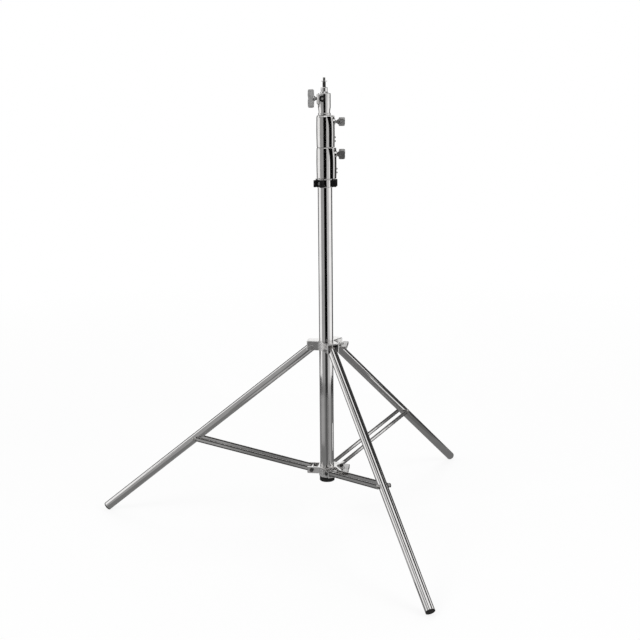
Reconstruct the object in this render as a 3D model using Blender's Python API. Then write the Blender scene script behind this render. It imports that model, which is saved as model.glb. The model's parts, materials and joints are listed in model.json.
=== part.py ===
# Light stand with a three-section telescopic mast and a folding tripod, mast lowered and legs spread.
# Lengths are in metres. The mast stands on the Z axis and the feet touch the ground at Z = 0.

from math import acos, asin, atan2, cos, degrees, hypot, pi, radians, sin, tan

import bmesh
import bpy
from mathutils import Matrix, Vector

# Clearances
seat_gap = 0.0003
slide_gap = 0.0003
stack_gap = 0.0005
turn_gap = 0.0009

# Tubes of the mast. Each smaller one plays loosely in the next, guided by plugs and liners
column_radius = 0.0175
column_wall = 0.0012
middle_wall = 0.0012
top_wall = 0.0012
tube_play = 0.0013
middle_radius = column_radius - column_wall - tube_play
top_radius = middle_radius - middle_wall - tube_play
collar_bore = column_radius + slide_gap

# Azimuths, counted about Z from +X
front_arm_azimuth = radians(-68.1)
arm_count = 3
knob_azimuth = front_arm_azimuth + pi / arm_count
arm_names = ["front", "back", "left"]
flipped_bolts = ["left"]

# Pins, bolts and nuts
pin_radius = 0.0040
pin_head_rim = 0.0022
pin_head_height = 0.0012
bolt_radius = 0.0030
bolt_head_rim = 0.0022
bolt_head_height = 0.0028
bolt_head_crown = 0.0005
nut_rim = 0.0026
nut_height = 0.0036
bolt_stub = 0.0012
pin_head_radius = pin_radius + pin_head_rim
bolt_head_radius = bolt_radius + bolt_head_rim
nut_radius = bolt_radius + nut_rim

# Legs, their bushes and their end plugs
leg_radius = 0.0110
leg_wall = 0.0011
leg_overhang = 0.006
leg_length = 0.7078
foot_flange = 0.0026
foot_chamfer = 0.0006
foot_insert = 0.016
foot_radius = leg_radius
pivot_bush_wall = 0.0010
pivot_bush_rim = 0.0023
pivot_bush_flange = 0.0014
strut_bush_wall = 0.0015
strut_bush_radius = bolt_radius + seat_gap + strut_bush_wall
leg_top_reach = hypot(leg_radius, leg_overhang)

# Strut bars
bar_half_height = 0.0059
bar_thickness = 0.0025
bar_play = 0.00045
bar_inner = leg_radius + bar_play + seat_gap
bar_outer = bar_inner + bar_thickness

# Both collars: sheet, and the boss of the knob
sheet = 0.0025
channel_back = 0.0038
collar_nose = 0.0022
collar_boss_length = 0.0084
channel_floor_radius = collar_bore + channel_back
collar_boss_reach = collar_bore + collar_boss_length

# Leg collar that slides on the column
upper_wrap = 0.0027
upper_nose_reach = 0.0115
upper_skirt = 0.0006
leg_pivot_radius = channel_floor_radius + leg_top_reach + turn_gap
leg_channel_half = leg_radius + seat_gap + pivot_bush_flange + seat_gap
upper_cheek_half = leg_channel_half + sheet
upper_arm_length = leg_pivot_radius + upper_nose_reach
upper_cheek_above = leg_top_reach + turn_gap + seat_gap + sheet
upper_cheek_below = pin_head_radius + upper_skirt

# Strut collar fixed at the foot of the column
lower_wrap = 0.0044
lower_nose_reach = 0.0114
strut_pivot_offset = 0.0020
lower_rim = 0.0023
lip_width = 0.0026
lip_thickness = 0.0024
lower_sleeve_wall = 0.0022
lower_sleeve_drop = 0.0095
strut_pivot_radius = leg_pivot_radius + strut_pivot_offset
bar_channel_half = bar_outer + seat_gap
lower_cheek_half = bar_channel_half + sheet
lower_arm_length = strut_pivot_radius + lower_nose_reach
lower_cheek_above = bar_half_height + lower_rim
lower_cheek_below = bar_half_height + turn_gap + sheet

# Tripod linkage, seen in the plane of one leg
leg_to_strut = 0.393
strut_length = 0.310
collar_spacing = 0.3178
folded_tilt = radians(7.5)

# Rubber cap under the column
cap_floor = 0.0045
cap_skirt = 0.0120
cap_wall = 0.0010
cap_edge = 0.0016

# Clamp sleeves: walls outside the bore, then the block and the strip on it
lower_sleeve_length = 0.0743
upper_sleeve_length = 0.0755
tube_into_sleeve = 0.0345
lower_sleeve_shell = 0.0019
lower_boss_rise = 0.0034
lower_strip_rise = 0.0050
upper_sleeve_shell = 0.0039
upper_boss_rise = 0.0011
upper_strip_rise = 0.0040
lower_boss_inset = 0.00445
upper_boss_inset = 0.0032
boss_flare = 0.0024
boss_flare_height = 0.0350
boss_corner = 0.0042
strip_half_width = 0.0052
sleeve_swell = 0.0004
sleeve_edge = 0.0012
sleeve_foot = 0.0040
sleeve_shoulder = 0.0075
shoulder_pull = 0.6
sleeve_slot = 0.0012
slot_side = 0.0075
slot_height = 0.0225
sleeve_shell_root = 0.0050
ear_radius = 0.0080
ear_rise = 0.0012
lower_knob_drop = 0.0161
upper_knob_drop = 0.0154
rivet_radius = 0.0024
rivet_rise = 0.0026
lower_rivet_heights = [0.0145, 0.0235]
upper_rivet_heights = [0.0145, 0.0235]
shoe_height = 0.013
shoe_angle = radians(24)
shoe_thickness = 0.0018

# T-knobs, along their own axis
knob_shaft_radius = 0.0040
knob_neck_rim = 0.0008
knob_hub_rim = 0.0018
knob_hub_length = 0.0035
knob_wing_depth = 0.0155
knob_wing_half_span = 0.0218
knob_wing_half_thickness = 0.0034
knob_wing_corner = 0.0036
knob_wing_draft = 0.0006
knob_edge = 0.0012
knob_shaft_bevel = 0.0006
knob_cap_height = 0.0045
knob_cap_edge = 0.0015
knob_neck_radius = knob_shaft_radius + knob_neck_rim
knob_hub_radius = knob_neck_radius + knob_hub_rim

# Gap between each knob's hub and the face that it stands off
lower_sleeve_standoff = 0.0005
upper_sleeve_standoff = 0.0043
head_standoff = 0.0023
upper_collar_standoff = 0.0088
lower_collar_standoff = 0.0108

# Turn of each knob's wing about its axis, from upright
lower_sleeve_knob_turn = radians(58)
upper_sleeve_knob_turn = radians(66)
head_knob_turn = radians(14)
upper_collar_knob_turn = radians(95)
lower_collar_knob_turn = radians(100)

# Spigot
spigot_radius = 0.0080
spigot_flange = 0.0018
spigot_cone_height = 0.0032
spigot_pin_height = 0.0265
spigot_bevel = 0.0010
neck_depth = 0.0042
neck_height = 0.0130
shoulder_inset = 0.0010
shoulder_height = 0.0020
stud_radius = 0.0031
stud_height = 0.0076
stud_bevel = 0.0006
neck_radius = spigot_radius - neck_depth
shoulder_radius = spigot_radius - shoulder_inset

# Head casting on the top tube
head_shell = 0.0024
head_neck_shell = 0.0010
head_ring_height = 0.0048
head_taper_height = 0.0180
head_tube_depth = 0.0260
head_socket_depth = 0.0205
head_web = 0.0047
head_edge = 0.0014
head_boss_rise = 0.0028
head_boss_half = 0.0120
head_boss_flat = 0.0035
head_boss_above = 0.0105
head_boss_below = 0.0160
head_boss_foot = 0.0050
head_knob_drop = 0.0125
recess_azimuth = radians(-108)
recess_radius = 0.0078
recess_depth = 0.0042
recess_rim = 0.0037
screw_height = 0.0030
screw_socket = 0.0018
head_length = head_tube_depth + head_web + head_socket_depth
head_radius = top_radius + slide_gap + head_shell
head_boss_reach = head_radius + head_boss_rise

# Guide plugs inside the telescopic tubes
plug_height = 0.014
plug_insert = 0.012
plug_hole_radius = 0.006
middle_tube_lift = 0.020
top_tube_lift = 0.030

# Band with open clips
clip_band_height = 0.0202
clip_band_wall = 0.0018
clip_half_width = 0.0130
clip_back = 0.0026
clip_depth = 0.0091
clip_jaw = 0.0056
clip_height = 0.0168
clip_lip = 0.0008
clip_corner = 0.0012

# Drawing: sides of the turned pieces, steps of arcs, the angle of a sharp edge and a cutter's overrun
round_steps = 32
leg_steps = 20
small_steps = 12
corner_steps = 2
sleeve_steps = 4
shoulder_steps = 3
sharp_angle = radians(35)
cut_past = 0.01


def solve_linkage(spacing):
    """Tilt of the leg from straight down and of the strut from straight up, for one collar spacing."""
    step = leg_pivot_radius - strut_pivot_radius
    reach = hypot(spacing, step)
    lean = atan2(step, spacing)
    at_collar = acos((leg_to_strut**2 + reach**2 - strut_length**2) / (2 * leg_to_strut * reach))
    at_foot = acos((strut_length**2 + reach**2 - leg_to_strut**2) / (2 * strut_length * reach))
    return at_collar - lean, at_foot + lean


leg_tilt, strut_tilt = solve_linkage(collar_spacing)
folded_strut_tilt = asin(
    (leg_pivot_radius + leg_to_strut * sin(folded_tilt) - strut_pivot_radius) / strut_length
)
folded_spacing = leg_to_strut * cos(folded_tilt) + strut_length * cos(folded_strut_tilt)
collar_travel = folded_spacing - collar_spacing

# Heights above the ground, worked up from the feet
leg_pivot_height = (leg_length - foot_chamfer) * cos(leg_tilt) + foot_radius * sin(leg_tilt)
strut_pivot_height = leg_pivot_height - collar_spacing
lower_collar_bottom = strut_pivot_height - lower_cheek_below - lower_sleeve_drop
cap_top = lower_collar_bottom - seat_gap
cap_bottom = cap_top - cap_skirt
column_bottom = cap_bottom + cap_floor + seat_gap
band_bottom = leg_pivot_height + collar_travel + upper_cheek_above + stack_gap
lower_sleeve_bottom = band_bottom + clip_band_height + seat_gap
lower_sleeve_top = lower_sleeve_bottom + lower_sleeve_length
upper_sleeve_bottom = lower_sleeve_top + stack_gap
upper_sleeve_top = upper_sleeve_bottom + upper_sleeve_length
head_bottom = upper_sleeve_top + stack_gap
head_top = head_bottom + head_length
column_top = lower_sleeve_bottom + tube_into_sleeve
middle_top = upper_sleeve_bottom + tube_into_sleeve
top_tube_top = head_bottom + head_tube_depth - seat_gap
middle_bottom = column_bottom + middle_tube_lift
top_bottom = middle_bottom + top_tube_lift
lower_knob_height = lower_sleeve_top - lower_knob_drop
upper_knob_height = upper_sleeve_top - upper_knob_drop
head_knob_height = head_top - head_knob_drop


def clear_scene():
    for item in list(bpy.data.objects):
        bpy.data.objects.remove(item, do_unlink=True)


def make_material(name, colour, roughness, metallic):
    material = bpy.data.materials.new(name)
    material.use_nodes = True
    shader = material.node_tree.nodes["Principled BSDF"]
    shader.inputs["Base Color"].default_value = (*colour, 1.0)
    shader.inputs["Roughness"].default_value = roughness
    shader.inputs["Metallic"].default_value = metallic
    material.diffuse_color = (*colour, 1.0)
    return material


def place(name, mesh, material, parent=None, location=(0, 0, 0), rotation=(0, 0, 0)):
    item = bpy.data.objects.new(name, mesh)
    bpy.context.scene.collection.objects.link(item)
    if mesh is not None and material is not None and not mesh.materials:
        mesh.materials.append(material)
    item.parent = parent
    item.location = location
    item.rotation_euler = rotation
    return item


def empty(name, parent=None, location=(0, 0, 0), rotation=(0, 0, 0)):
    return place(name, None, None, parent, location, rotation)


def round_ring(radius, height, steps):
    return [(radius * cos(2 * pi * step / steps), radius * sin(2 * pi * step / steps), height)
            for step in range(steps)]


def add_rings(shape, rings, turn):
    """Skin a stack of rings and close both ends."""
    rings = [[shape.verts.new(turn @ Vector(point)) for point in ring] for ring in rings]
    shape.faces.new(rings[0])
    shape.faces.new(rings[-1])
    for ring, following in zip(rings, rings[1:]):
        for step in range(len(ring)):
            after = (step + 1) % len(ring)
            shape.faces.new((ring[step], ring[after], following[after], following[step]))


def finish_mesh(name, shape):
    bmesh.ops.recalc_face_normals(shape, faces=shape.faces[:])
    for face in shape.faces:
        face.smooth = True
    mesh = bpy.data.meshes.new(name)
    shape.to_mesh(mesh)
    shape.free()
    mesh.set_sharp_from_angle(angle=sharp_angle)
    return mesh


def add_lathe(shape, profile, steps=round_steps, turn=None):
    """Add a solid of revolution about Z. A profile that starts and ends on the axis gets flat ends."""
    turn = turn or Matrix.Identity(4)
    solid = profile[0][0] == 0
    rings = [[turn @ Vector(point) for point in round_ring(radius, height, steps)]
             for radius, height in (profile[1:-1] if solid else profile)]
    rings = [[shape.verts.new(point) for point in ring] for ring in rings]
    if solid:
        shape.faces.new(rings[0])
        shape.faces.new(rings[-1])
    pairs = list(zip(rings, rings[1:]))
    if not solid:
        pairs.append((rings[-1], rings[0]))
    for ring, following in pairs:
        for step in range(steps):
            after = (step + 1) % steps
            shape.faces.new((ring[step], ring[after], following[after], following[step]))


def rounded(points, radii, steps=4):
    """Outline with each corner replaced by an arc of its own radius."""
    outline = []
    count = len(points)
    for index, point in enumerate(points):
        corner = Vector(point)
        back = Vector(points[index - 1]) - corner
        ahead = Vector(points[(index + 1) % count]) - corner
        radius = radii[index] if isinstance(radii, (list, tuple)) else radii
        opening = back.angle(ahead)
        if radius <= 0 or opening > pi - 0.02:
            outline.append(corner)
            continue
        run = radius / tan(opening / 2)
        start = corner + back.normalized() * run
        end = corner + ahead.normalized() * run
        centre = corner + (back.normalized() + ahead.normalized()).normalized() * (radius / sin(opening / 2))
        first = start - centre
        sweep = first.angle_signed(end - centre)
        for step in range(steps + 1):
            angle = -sweep * step / steps
            outline.append(centre + Matrix.Rotation(angle, 2) @ first)
    return outline


def add_prism(shape, outline, low, high, turn=None):
    """Add the outline in XY, pushed from one height to the other."""
    turn = turn or Matrix.Identity(4)
    bottom = [shape.verts.new(turn @ Vector((point[0], point[1], low))) for point in outline]
    top = [shape.verts.new(turn @ Vector((point[0], point[1], high))) for point in outline]
    count = len(outline)
    shape.faces.new(reversed(bottom))
    shape.faces.new(top)
    for index in range(count):
        after = (index + 1) % count
        shape.faces.new((bottom[index], bottom[after], top[after], top[index]))


def add_block(shape, low, high, turn=None):
    outline = [(low[0], low[1]), (high[0], low[1]), (high[0], high[1]), (low[0], high[1])]
    add_prism(shape, outline, low[2], high[2], turn)


def lathe_mesh(name, profile, steps=round_steps, turn=None):
    shape = bmesh.new()
    add_lathe(shape, profile, steps, turn)
    return finish_mesh(name, shape)


def tube_profile(inner, outer, low, high):
    return [(inner, low), (outer, low), (outer, high), (inner, high)]


def helper(name, shape):
    """Hidden cutter or added piece for a Boolean, which takes its target's place."""
    item = place(name, finish_mesh(name, shape), None)
    item.display_type = "WIRE"
    item.hide_render = True
    item.hide_set(True)
    return item


def combine(target, tool, operation):
    tool.parent = target.parent
    tool.location = target.location
    tool.rotation_euler = target.rotation_euler
    step = target.modifiers.new(tool.name, "BOOLEAN")
    step.object = tool
    step.operation = operation
    step.solver = "EXACT"


def bake(item):
    """Turn an object's Boolean steps into its mesh and drop the helpers."""
    tools = [step.object for step in item.modifiers if step.type == "BOOLEAN"]
    bpy.context.view_layer.update()
    source = item.evaluated_get(bpy.context.evaluated_depsgraph_get())
    mesh = bpy.data.meshes.new_from_object(source)
    item.modifiers.clear()
    item.data = mesh
    shape = bmesh.new()
    shape.from_mesh(mesh)
    bmesh.ops.remove_doubles(shape, verts=shape.verts[:], dist=0.000001)
    bmesh.ops.recalc_face_normals(shape, faces=shape.faces[:])
    for face in shape.faces:
        face.smooth = True
    shape.to_mesh(mesh)
    shape.free()
    mesh.set_sharp_from_angle(angle=sharp_angle)
    for tool in tools:
        bpy.data.objects.remove(tool, do_unlink=True)


def across(distance=0.0):
    """Turn of a lathe so that its axis runs along Y, at a distance along X."""
    return Matrix.Translation((distance, 0, 0)) @ Matrix.Rotation(-pi / 2, 4, "X")


def sideways(height=0.0):
    """Turn of a lathe so that its axis runs along X, at a height."""
    return Matrix.Translation((0, 0, height)) @ Matrix.Rotation(pi / 2, 4, "Y")


def cylinder_tool(name, radius, low, high, turn, steps=small_steps):
    shape = bmesh.new()
    add_lathe(shape, [(0, low), (radius, low), (radius, high), (0, high)], steps, turn)
    return helper(name, shape)


def turned_about_z(azimuth):
    return Matrix.Rotation(azimuth, 4, "Z")


def arm_azimuth(index):
    return front_arm_azimuth + 2 * pi * index / arm_count


def arm_turn(index):
    return turned_about_z(arm_azimuth(index))


# Mast


def build_column(root, chrome, rubber):
    inner = column_radius - column_wall
    profile = tube_profile(inner, column_radius, column_bottom, column_top)
    place("column_tube", lathe_mesh("column_tube", profile), chrome, root)
    skirt_inner = column_radius + seat_gap
    skirt_outer = skirt_inner + cap_wall
    profile = [
        (0, cap_bottom),
        (skirt_outer - cap_edge, cap_bottom),
        (skirt_outer, cap_bottom + cap_edge),
        (skirt_outer, cap_top),
        (skirt_inner, cap_top),
        (skirt_inner, cap_bottom + cap_floor),
        (0, cap_bottom + cap_floor),
    ]
    place("base_cap", lathe_mesh("base_cap", profile), rubber, root)


def build_guide(name, bottom, tube_inner, bore, material, parent):
    """Plug in the foot of a sliding tube: a flange in the outer bore and an insert inside the tube."""
    flange = bore - slide_gap
    insert = tube_inner - seat_gap
    profile = [
        (plug_hole_radius, bottom - plug_height),
        (flange, bottom - plug_height),
        (flange, bottom - seat_gap),
        (insert, bottom - seat_gap),
        (insert, bottom + plug_insert),
        (plug_hole_radius, bottom + plug_insert),
    ]
    place(name, lathe_mesh(name, profile, leg_steps), material, parent)


def sleeve_outline(radius, boss_half, boss_reach, strip_half, strip_reach, corner):
    """Section of a clamp sleeve: a circle with a round-cornered boss and a strip on its +X side."""
    opening = asin(boss_half / radius)
    points = [(strip_reach, -strip_half), (strip_reach, strip_half), (boss_reach, strip_half)]
    for step in range(corner_steps + 2):
        angle = pi / 2 * step / (corner_steps + 1)
        points.append((boss_reach - corner * (1 - cos(angle)), boss_half - corner * (1 - sin(angle))))
    steps = round_steps - 9
    for step in range(steps + 1):
        angle = opening + 2 * (pi - opening) * step / steps
        points.append((radius * cos(angle), radius * sin(angle)))
    for step in reversed(range(corner_steps + 2)):
        angle = pi / 2 * step / (corner_steps + 1)
        points.append((boss_reach - corner * (1 - cos(angle)), corner * (1 - sin(angle)) - boss_half))
    points.append((boss_reach, -strip_half))
    return points


def sleeve_levels(bottom, length, shell):
    """Heights of a clamp sleeve, each with the inset of its outline and the flare of its boss."""
    top = bottom + length
    foot = bottom + sleeve_foot
    shoulder = top - sleeve_shoulder
    levels = [(bottom, sleeve_edge)]
    for step in range(sleeve_steps + 1):
        share = step / sleeve_steps
        levels.append((foot + (shoulder - foot) * share, -sleeve_swell * sin(pi * share)))
    for step in range(1, shoulder_steps + 1):
        angle = pi / 2 * step / shoulder_steps
        levels.append((shoulder + sleeve_shoulder * sin(angle), shoulder_pull * shell * (1 - cos(angle))))
    flare_foot = top - boss_flare_height
    return [(height, inset, boss_flare * (max(0, height - flare_foot) / boss_flare_height) ** 2)
            for height, inset in levels]


def build_sleeve(name, bottom, length, shell, boss_rise, boss_inset, strip_rise, outer_tube, knob_height,
                 rivet_heights, parent, metal):
    """Clamp sleeve: round body, a boss with a riveted strip on its +X side, a bore and a knob hole."""
    top = bottom + length
    bore = outer_tube + slide_gap
    radius = bore + shell
    boss_reach = radius + boss_rise
    strip_reach = boss_reach + strip_rise
    rings = []
    for height, inset, flare in sleeve_levels(bottom, length, shell):
        boss_half = radius - boss_inset + flare
        outline = sleeve_outline(radius - inset, boss_half - inset, boss_reach - inset,
                                 strip_half_width - inset, strip_reach - inset, boss_corner + flare)
        rings.append([(point[0], point[1], height) for point in outline])
    shape = bmesh.new()
    add_rings(shape, rings, Matrix.Identity(4))
    body = place(name, finish_mesh(name, shape), metal, parent)

    root = bore - sleeve_shell_root
    face = strip_reach + ear_rise
    ear = bmesh.new()
    add_lathe(ear, [(0, root), (ear_radius, root), (ear_radius, strip_reach),
                    (ear_radius - ear_rise, face), (0, face)], leg_steps, sideways(knob_height))
    combine(body, helper(name + "_ear", ear), "UNION")
    for index, height in enumerate(rivet_heights):
        rivet = bmesh.new()
        add_lathe(rivet, [(0, root), (rivet_radius, root), (rivet_radius, strip_reach + rivet_rise / 2),
                          (rivet_radius / 2, strip_reach + rivet_rise), (0, strip_reach + rivet_rise)],
                  small_steps, sideways(bottom + height))
        combine(body, helper(name + "_rivet_" + str(index), rivet), "UNION")

    combine(body, cylinder_tool(name + "_bore", bore, bottom - cut_past, top + cut_past,
                                Matrix.Identity(4), round_steps), "DIFFERENCE")
    combine(body, cylinder_tool(name + "_knob_hole", knob_shaft_radius + seat_gap, root, face + cut_past,
                                sideways(knob_height)), "DIFFERENCE")
    slot = bmesh.new()
    add_block(slot, (bore - 2 * sleeve_slot, slot_side, bottom - cut_past),
              (face + cut_past, slot_side + sleeve_slot, bottom + slot_height))
    combine(body, helper(name + "_slot", slot), "DIFFERENCE")
    bake(body)
    return face


def build_liner(name, low, high, inner, outer, knob_height, material, parent):
    """Liner bush between the sleeve's bore and the sliding tube, with a window for the brake shoe."""
    shape = bmesh.new()
    add_lathe(shape, [(inner, low), (outer, low), (outer, high), (inner, high)])
    liner = place(name, finish_mesh(name, shape), material, parent)
    window = bmesh.new()
    half = outer * sin(shoe_angle) + seat_gap
    add_block(window, (inner / 2, -half, knob_height - shoe_height / 2 - seat_gap),
              (outer + cut_past, half, knob_height + shoe_height / 2 + seat_gap))
    combine(liner, helper(name + "_window", window), "DIFFERENCE")
    bake(liner)


def build_shoe(name, tube, knob_height, material, parent):
    """Curved brake shoe that the knob presses on the sliding tube."""
    inner = tube + slide_gap
    outer = inner + shoe_thickness
    steps = 6
    angles = [shoe_angle * (2 * step / steps - 1) for step in range(steps + 1)]
    outline = [(outer * cos(angle), outer * sin(angle)) for angle in angles]
    outline += [(inner * cos(angle), inner * sin(angle)) for angle in reversed(angles)]
    shape = bmesh.new()
    add_prism(shape, outline, knob_height - shoe_height / 2, knob_height + shoe_height / 2)
    place(name, finish_mesh(name, shape), material, parent)


# T-knob


def knob_mesh(shaft_length):
    """T-knob along +X: the shaft reaches back from X = 0, then hub and wing. The wing spans Z."""
    shape = bmesh.new()
    hub_end = knob_hub_length
    add_lathe(shape, [
        (0, -shaft_length),
        (knob_shaft_radius - knob_shaft_bevel, -shaft_length),
        (knob_shaft_radius, -shaft_length + knob_shaft_bevel),
        (knob_shaft_radius, 0),
        (knob_neck_radius, knob_shaft_bevel),
        (knob_hub_radius, hub_end),
        (knob_hub_radius, hub_end + knob_cap_height - knob_cap_edge),
        (knob_neck_radius, hub_end + knob_cap_height),
        (0, hub_end + knob_cap_height),
    ], small_steps, sideways())
    mesh = finish_mesh("t_knob_shaft", shape)
    knob = place("t_knob_draft", mesh, None)

    wing = bmesh.new()
    inner = hub_end
    outer = hub_end + knob_wing_depth
    corner = knob_wing_corner
    outline = rounded(
        [(inner + knob_wing_draft, -knob_wing_half_span), (outer - knob_wing_draft, -knob_wing_half_span),
         (outer, 0), (outer - knob_wing_draft, knob_wing_half_span),
         (inner + knob_wing_draft, knob_wing_half_span), (inner, 0)],
        [corner, corner, 0, corner, corner, 0], corner_steps)
    add_prism(wing, outline, -knob_wing_half_thickness, knob_wing_half_thickness,
              Matrix.Rotation(pi / 2, 4, "X"))
    bmesh.ops.recalc_face_normals(wing, faces=wing.faces[:])
    rim = [edge for edge in wing.edges if edge.calc_face_angle(0) > radians(60)]
    bmesh.ops.bevel(wing, geom=rim, offset=knob_edge, segments=1, profile=0.5, affect="EDGES")
    combine(knob, helper("t_knob_wing", wing), "UNION")
    bake(knob)
    mesh = knob.data
    mesh.name = "t_knob"
    bpy.data.objects.remove(knob, do_unlink=True)
    return mesh


def place_knob(name, hub_radius, tip_radius, height, azimuth, twist, material, parent):
    """Knob with its hub at one distance from the mast's axis and its shaft's tip at another."""
    mesh = knob_mesh(hub_radius - tip_radius)
    mesh.materials.clear()
    mesh.materials.append(material)
    holder = empty(name + "_axis", parent, (0, 0, height), (0, 0, azimuth))
    return place(name, mesh, material, holder, (hub_radius, 0, 0), (twist, 0, 0))


# Head and spigot


def build_head(parent, metal):
    """Head casting: round body with a neck ring, a bore for the top tube, a spigot socket and a boss."""
    ring_top = head_bottom + head_ring_height
    taper_top = head_bottom + head_taper_height
    neck = top_radius + slide_gap + head_neck_shell
    edge = head_edge
    shape = bmesh.new()
    add_lathe(shape, [
        (0, head_bottom),
        (head_radius - edge, head_bottom),
        (head_radius, head_bottom + edge),
        (head_radius, ring_top - edge),
        (neck, ring_top),
        (neck, ring_top + head_ring_height),
        (head_radius, taper_top),
        (head_radius, head_top - edge),
        (head_radius - edge, head_top),
        (0, head_top),
    ])
    head = place("head_casting", finish_mesh("head_casting", shape), metal, parent)

    foot = head_knob_height - head_boss_below
    crest = head_knob_height + head_boss_above
    foot_reach = head_radius - seat_gap
    rings = []
    slope_top = foot + head_boss_foot
    for height, reach in ((foot, foot_reach), (slope_top, head_boss_reach), (crest, head_boss_reach)):
        side = head_boss_half + reach - head_boss_reach
        corner = side - head_boss_flat
        outline = rounded([(-reach, -side), (0, -side), (0, side), (-reach, side)], [corner, 0, 0, corner])
        rings.append([(point[0], point[1], height) for point in outline])
    boss = bmesh.new()
    add_rings(boss, rings, Matrix.Identity(4))
    combine(head, helper("head_boss", boss), "UNION")
    combine(head, cylinder_tool("head_tube_bore", top_radius + slide_gap, head_bottom - cut_past,
                                head_bottom + head_tube_depth, Matrix.Identity(4), round_steps),
            "DIFFERENCE")
    combine(head, cylinder_tool("head_socket", spigot_radius + slide_gap, head_top - head_socket_depth,
                                head_top + cut_past, Matrix.Identity(4), leg_steps), "DIFFERENCE")
    combine(head, cylinder_tool("head_knob_hole", knob_shaft_radius + seat_gap, -2 * head_boss_reach,
                                -spigot_radius / 2, sideways(head_knob_height)), "DIFFERENCE")
    recess = turned_about_z(recess_azimuth) @ sideways(head_knob_height)
    combine(head, cylinder_tool("head_recess", recess_radius, head_radius - recess_depth, 2 * head_radius,
                                recess), "DIFFERENCE")
    bake(head)

    screw = bmesh.new()
    face = head_radius - recess_depth + seat_gap
    screw_radius = recess_radius - recess_rim
    add_lathe(screw, [
        (0, face),
        (screw_radius, face),
        (screw_radius, face + screw_height),
        (screw_socket, face + screw_height),
        (screw_socket, face + screw_height / 2),
        (0, face + screw_height / 2),
    ], small_steps, recess)
    place("head_screw", finish_mesh("head_screw", screw), metal, parent)


def build_spigot(parent, metal):
    """Spigot: shank in the socket, cone, pin with a narrow neck, shoulder and threaded stud's core."""
    floor = head_top - head_socket_depth + seat_gap
    cone_low = head_top + seat_gap
    pin_low = cone_low + spigot_cone_height
    pin_top = cone_low + spigot_pin_height
    neck_low = pin_top - neck_height
    bevel = spigot_bevel
    shoulder_top = pin_top + shoulder_height
    profile = [
        (0, floor),
        (spigot_radius - bevel, floor),
        (spigot_radius, floor + bevel),
        (spigot_radius, cone_low),
        (spigot_radius + spigot_flange, cone_low),
        (spigot_radius + spigot_flange, cone_low + spigot_cone_height / 4),
        (spigot_radius, pin_low),
        (spigot_radius, neck_low - bevel),
        (spigot_radius - bevel, neck_low),
        (neck_radius, neck_low),
        (neck_radius, pin_top),
        (shoulder_radius, pin_top),
        (shoulder_radius, shoulder_top),
        (stud_radius, shoulder_top),
        (stud_radius, shoulder_top + stud_height - stud_bevel),
        (stud_radius - stud_bevel, shoulder_top + stud_height),
        (0, shoulder_top + stud_height),
    ]
    place("spigot", lathe_mesh("spigot", profile, leg_steps), metal, parent)


# Clip band and clips


def clip_outline(back):
    """Section of one open clip: a curved back against the band and two jaws with inward lips."""
    reach = back + clip_depth
    spread = asin((clip_half_width - clip_corner) / (back + clip_back))
    jaw = clip_half_width - clip_jaw
    floor = back + clip_back
    side = [
        (back * cos(spread) + clip_jaw, clip_half_width),
        (reach - clip_corner, clip_half_width),
        (reach, clip_half_width - clip_corner),
        (reach, jaw - clip_lip),
        (reach - clip_lip, jaw - clip_lip),
        (reach - 2 * clip_lip, jaw),
        (floor, jaw),
    ]
    curve_steps = 5
    outline = []
    for step in range(curve_steps + 1):
        angle = spread * (2 * step / curve_steps - 1)
        outline.append((back * cos(angle), back * sin(angle)))
    return outline + side + [(along, -across_it) for along, across_it in reversed(side)]


def build_clips(root, metal, plastic):
    """Band under the lower sleeve with three open clips, midway between the legs."""
    inner = column_radius + slide_gap
    outer = inner + clip_band_wall
    profile = tube_profile(inner, outer, band_bottom, band_bottom + clip_band_height)
    place("clip_band", lathe_mesh("clip_band", profile), metal, root)
    low = band_bottom + (clip_band_height - clip_height) / 2
    for index in range(arm_count):
        name = "clip_" + str(index + 1)
        shape = bmesh.new()
        add_prism(shape, clip_outline(outer + seat_gap), low, low + clip_height)
        azimuth = knob_azimuth + 2 * pi * index / arm_count
        place(name, finish_mesh(name, shape), plastic, root, (0, 0, 0), (0, 0, azimuth))


# Leg collars


def star_outline(arm_length, half_width, wrap_radius):
    """Outline of three arms whose sides run into each other on an arc that clears the wrap radius."""
    points = []
    radii = []
    middle = pi / arm_count
    fillet = max(collar_nose, (wrap_radius - half_width / sin(middle)) / (1 / sin(middle) - 1))
    for index in range(arm_count):
        turn = Matrix.Rotation(arm_azimuth(index), 2)
        for along, side, radius in (
            (arm_length, -half_width, collar_nose),
            (arm_length, half_width, collar_nose),
            (half_width / tan(middle), half_width, fillet),
        ):
            points.append(turn @ Vector((along, side)))
            radii.append(radius)
    return rounded(points, radii, 4)


def boss_height(low, high):
    return (low + high) / 2


def collar_knob_boss(name, body, low, high):
    """Round boss for the collar's knob, between two arms. Gives back the turn of its axis."""
    turn = turned_about_z(knob_azimuth) @ sideways(boss_height(low, high))
    shape = bmesh.new()
    root = collar_bore - channel_back / 2
    add_lathe(shape, [(0, root), (ear_radius, root), (ear_radius, collar_boss_reach - ear_rise),
                      (ear_radius - ear_rise, collar_boss_reach), (0, collar_boss_reach)], leg_steps, turn)
    combine(body, helper(name + "_boss", shape), "UNION")
    return turn


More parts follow.
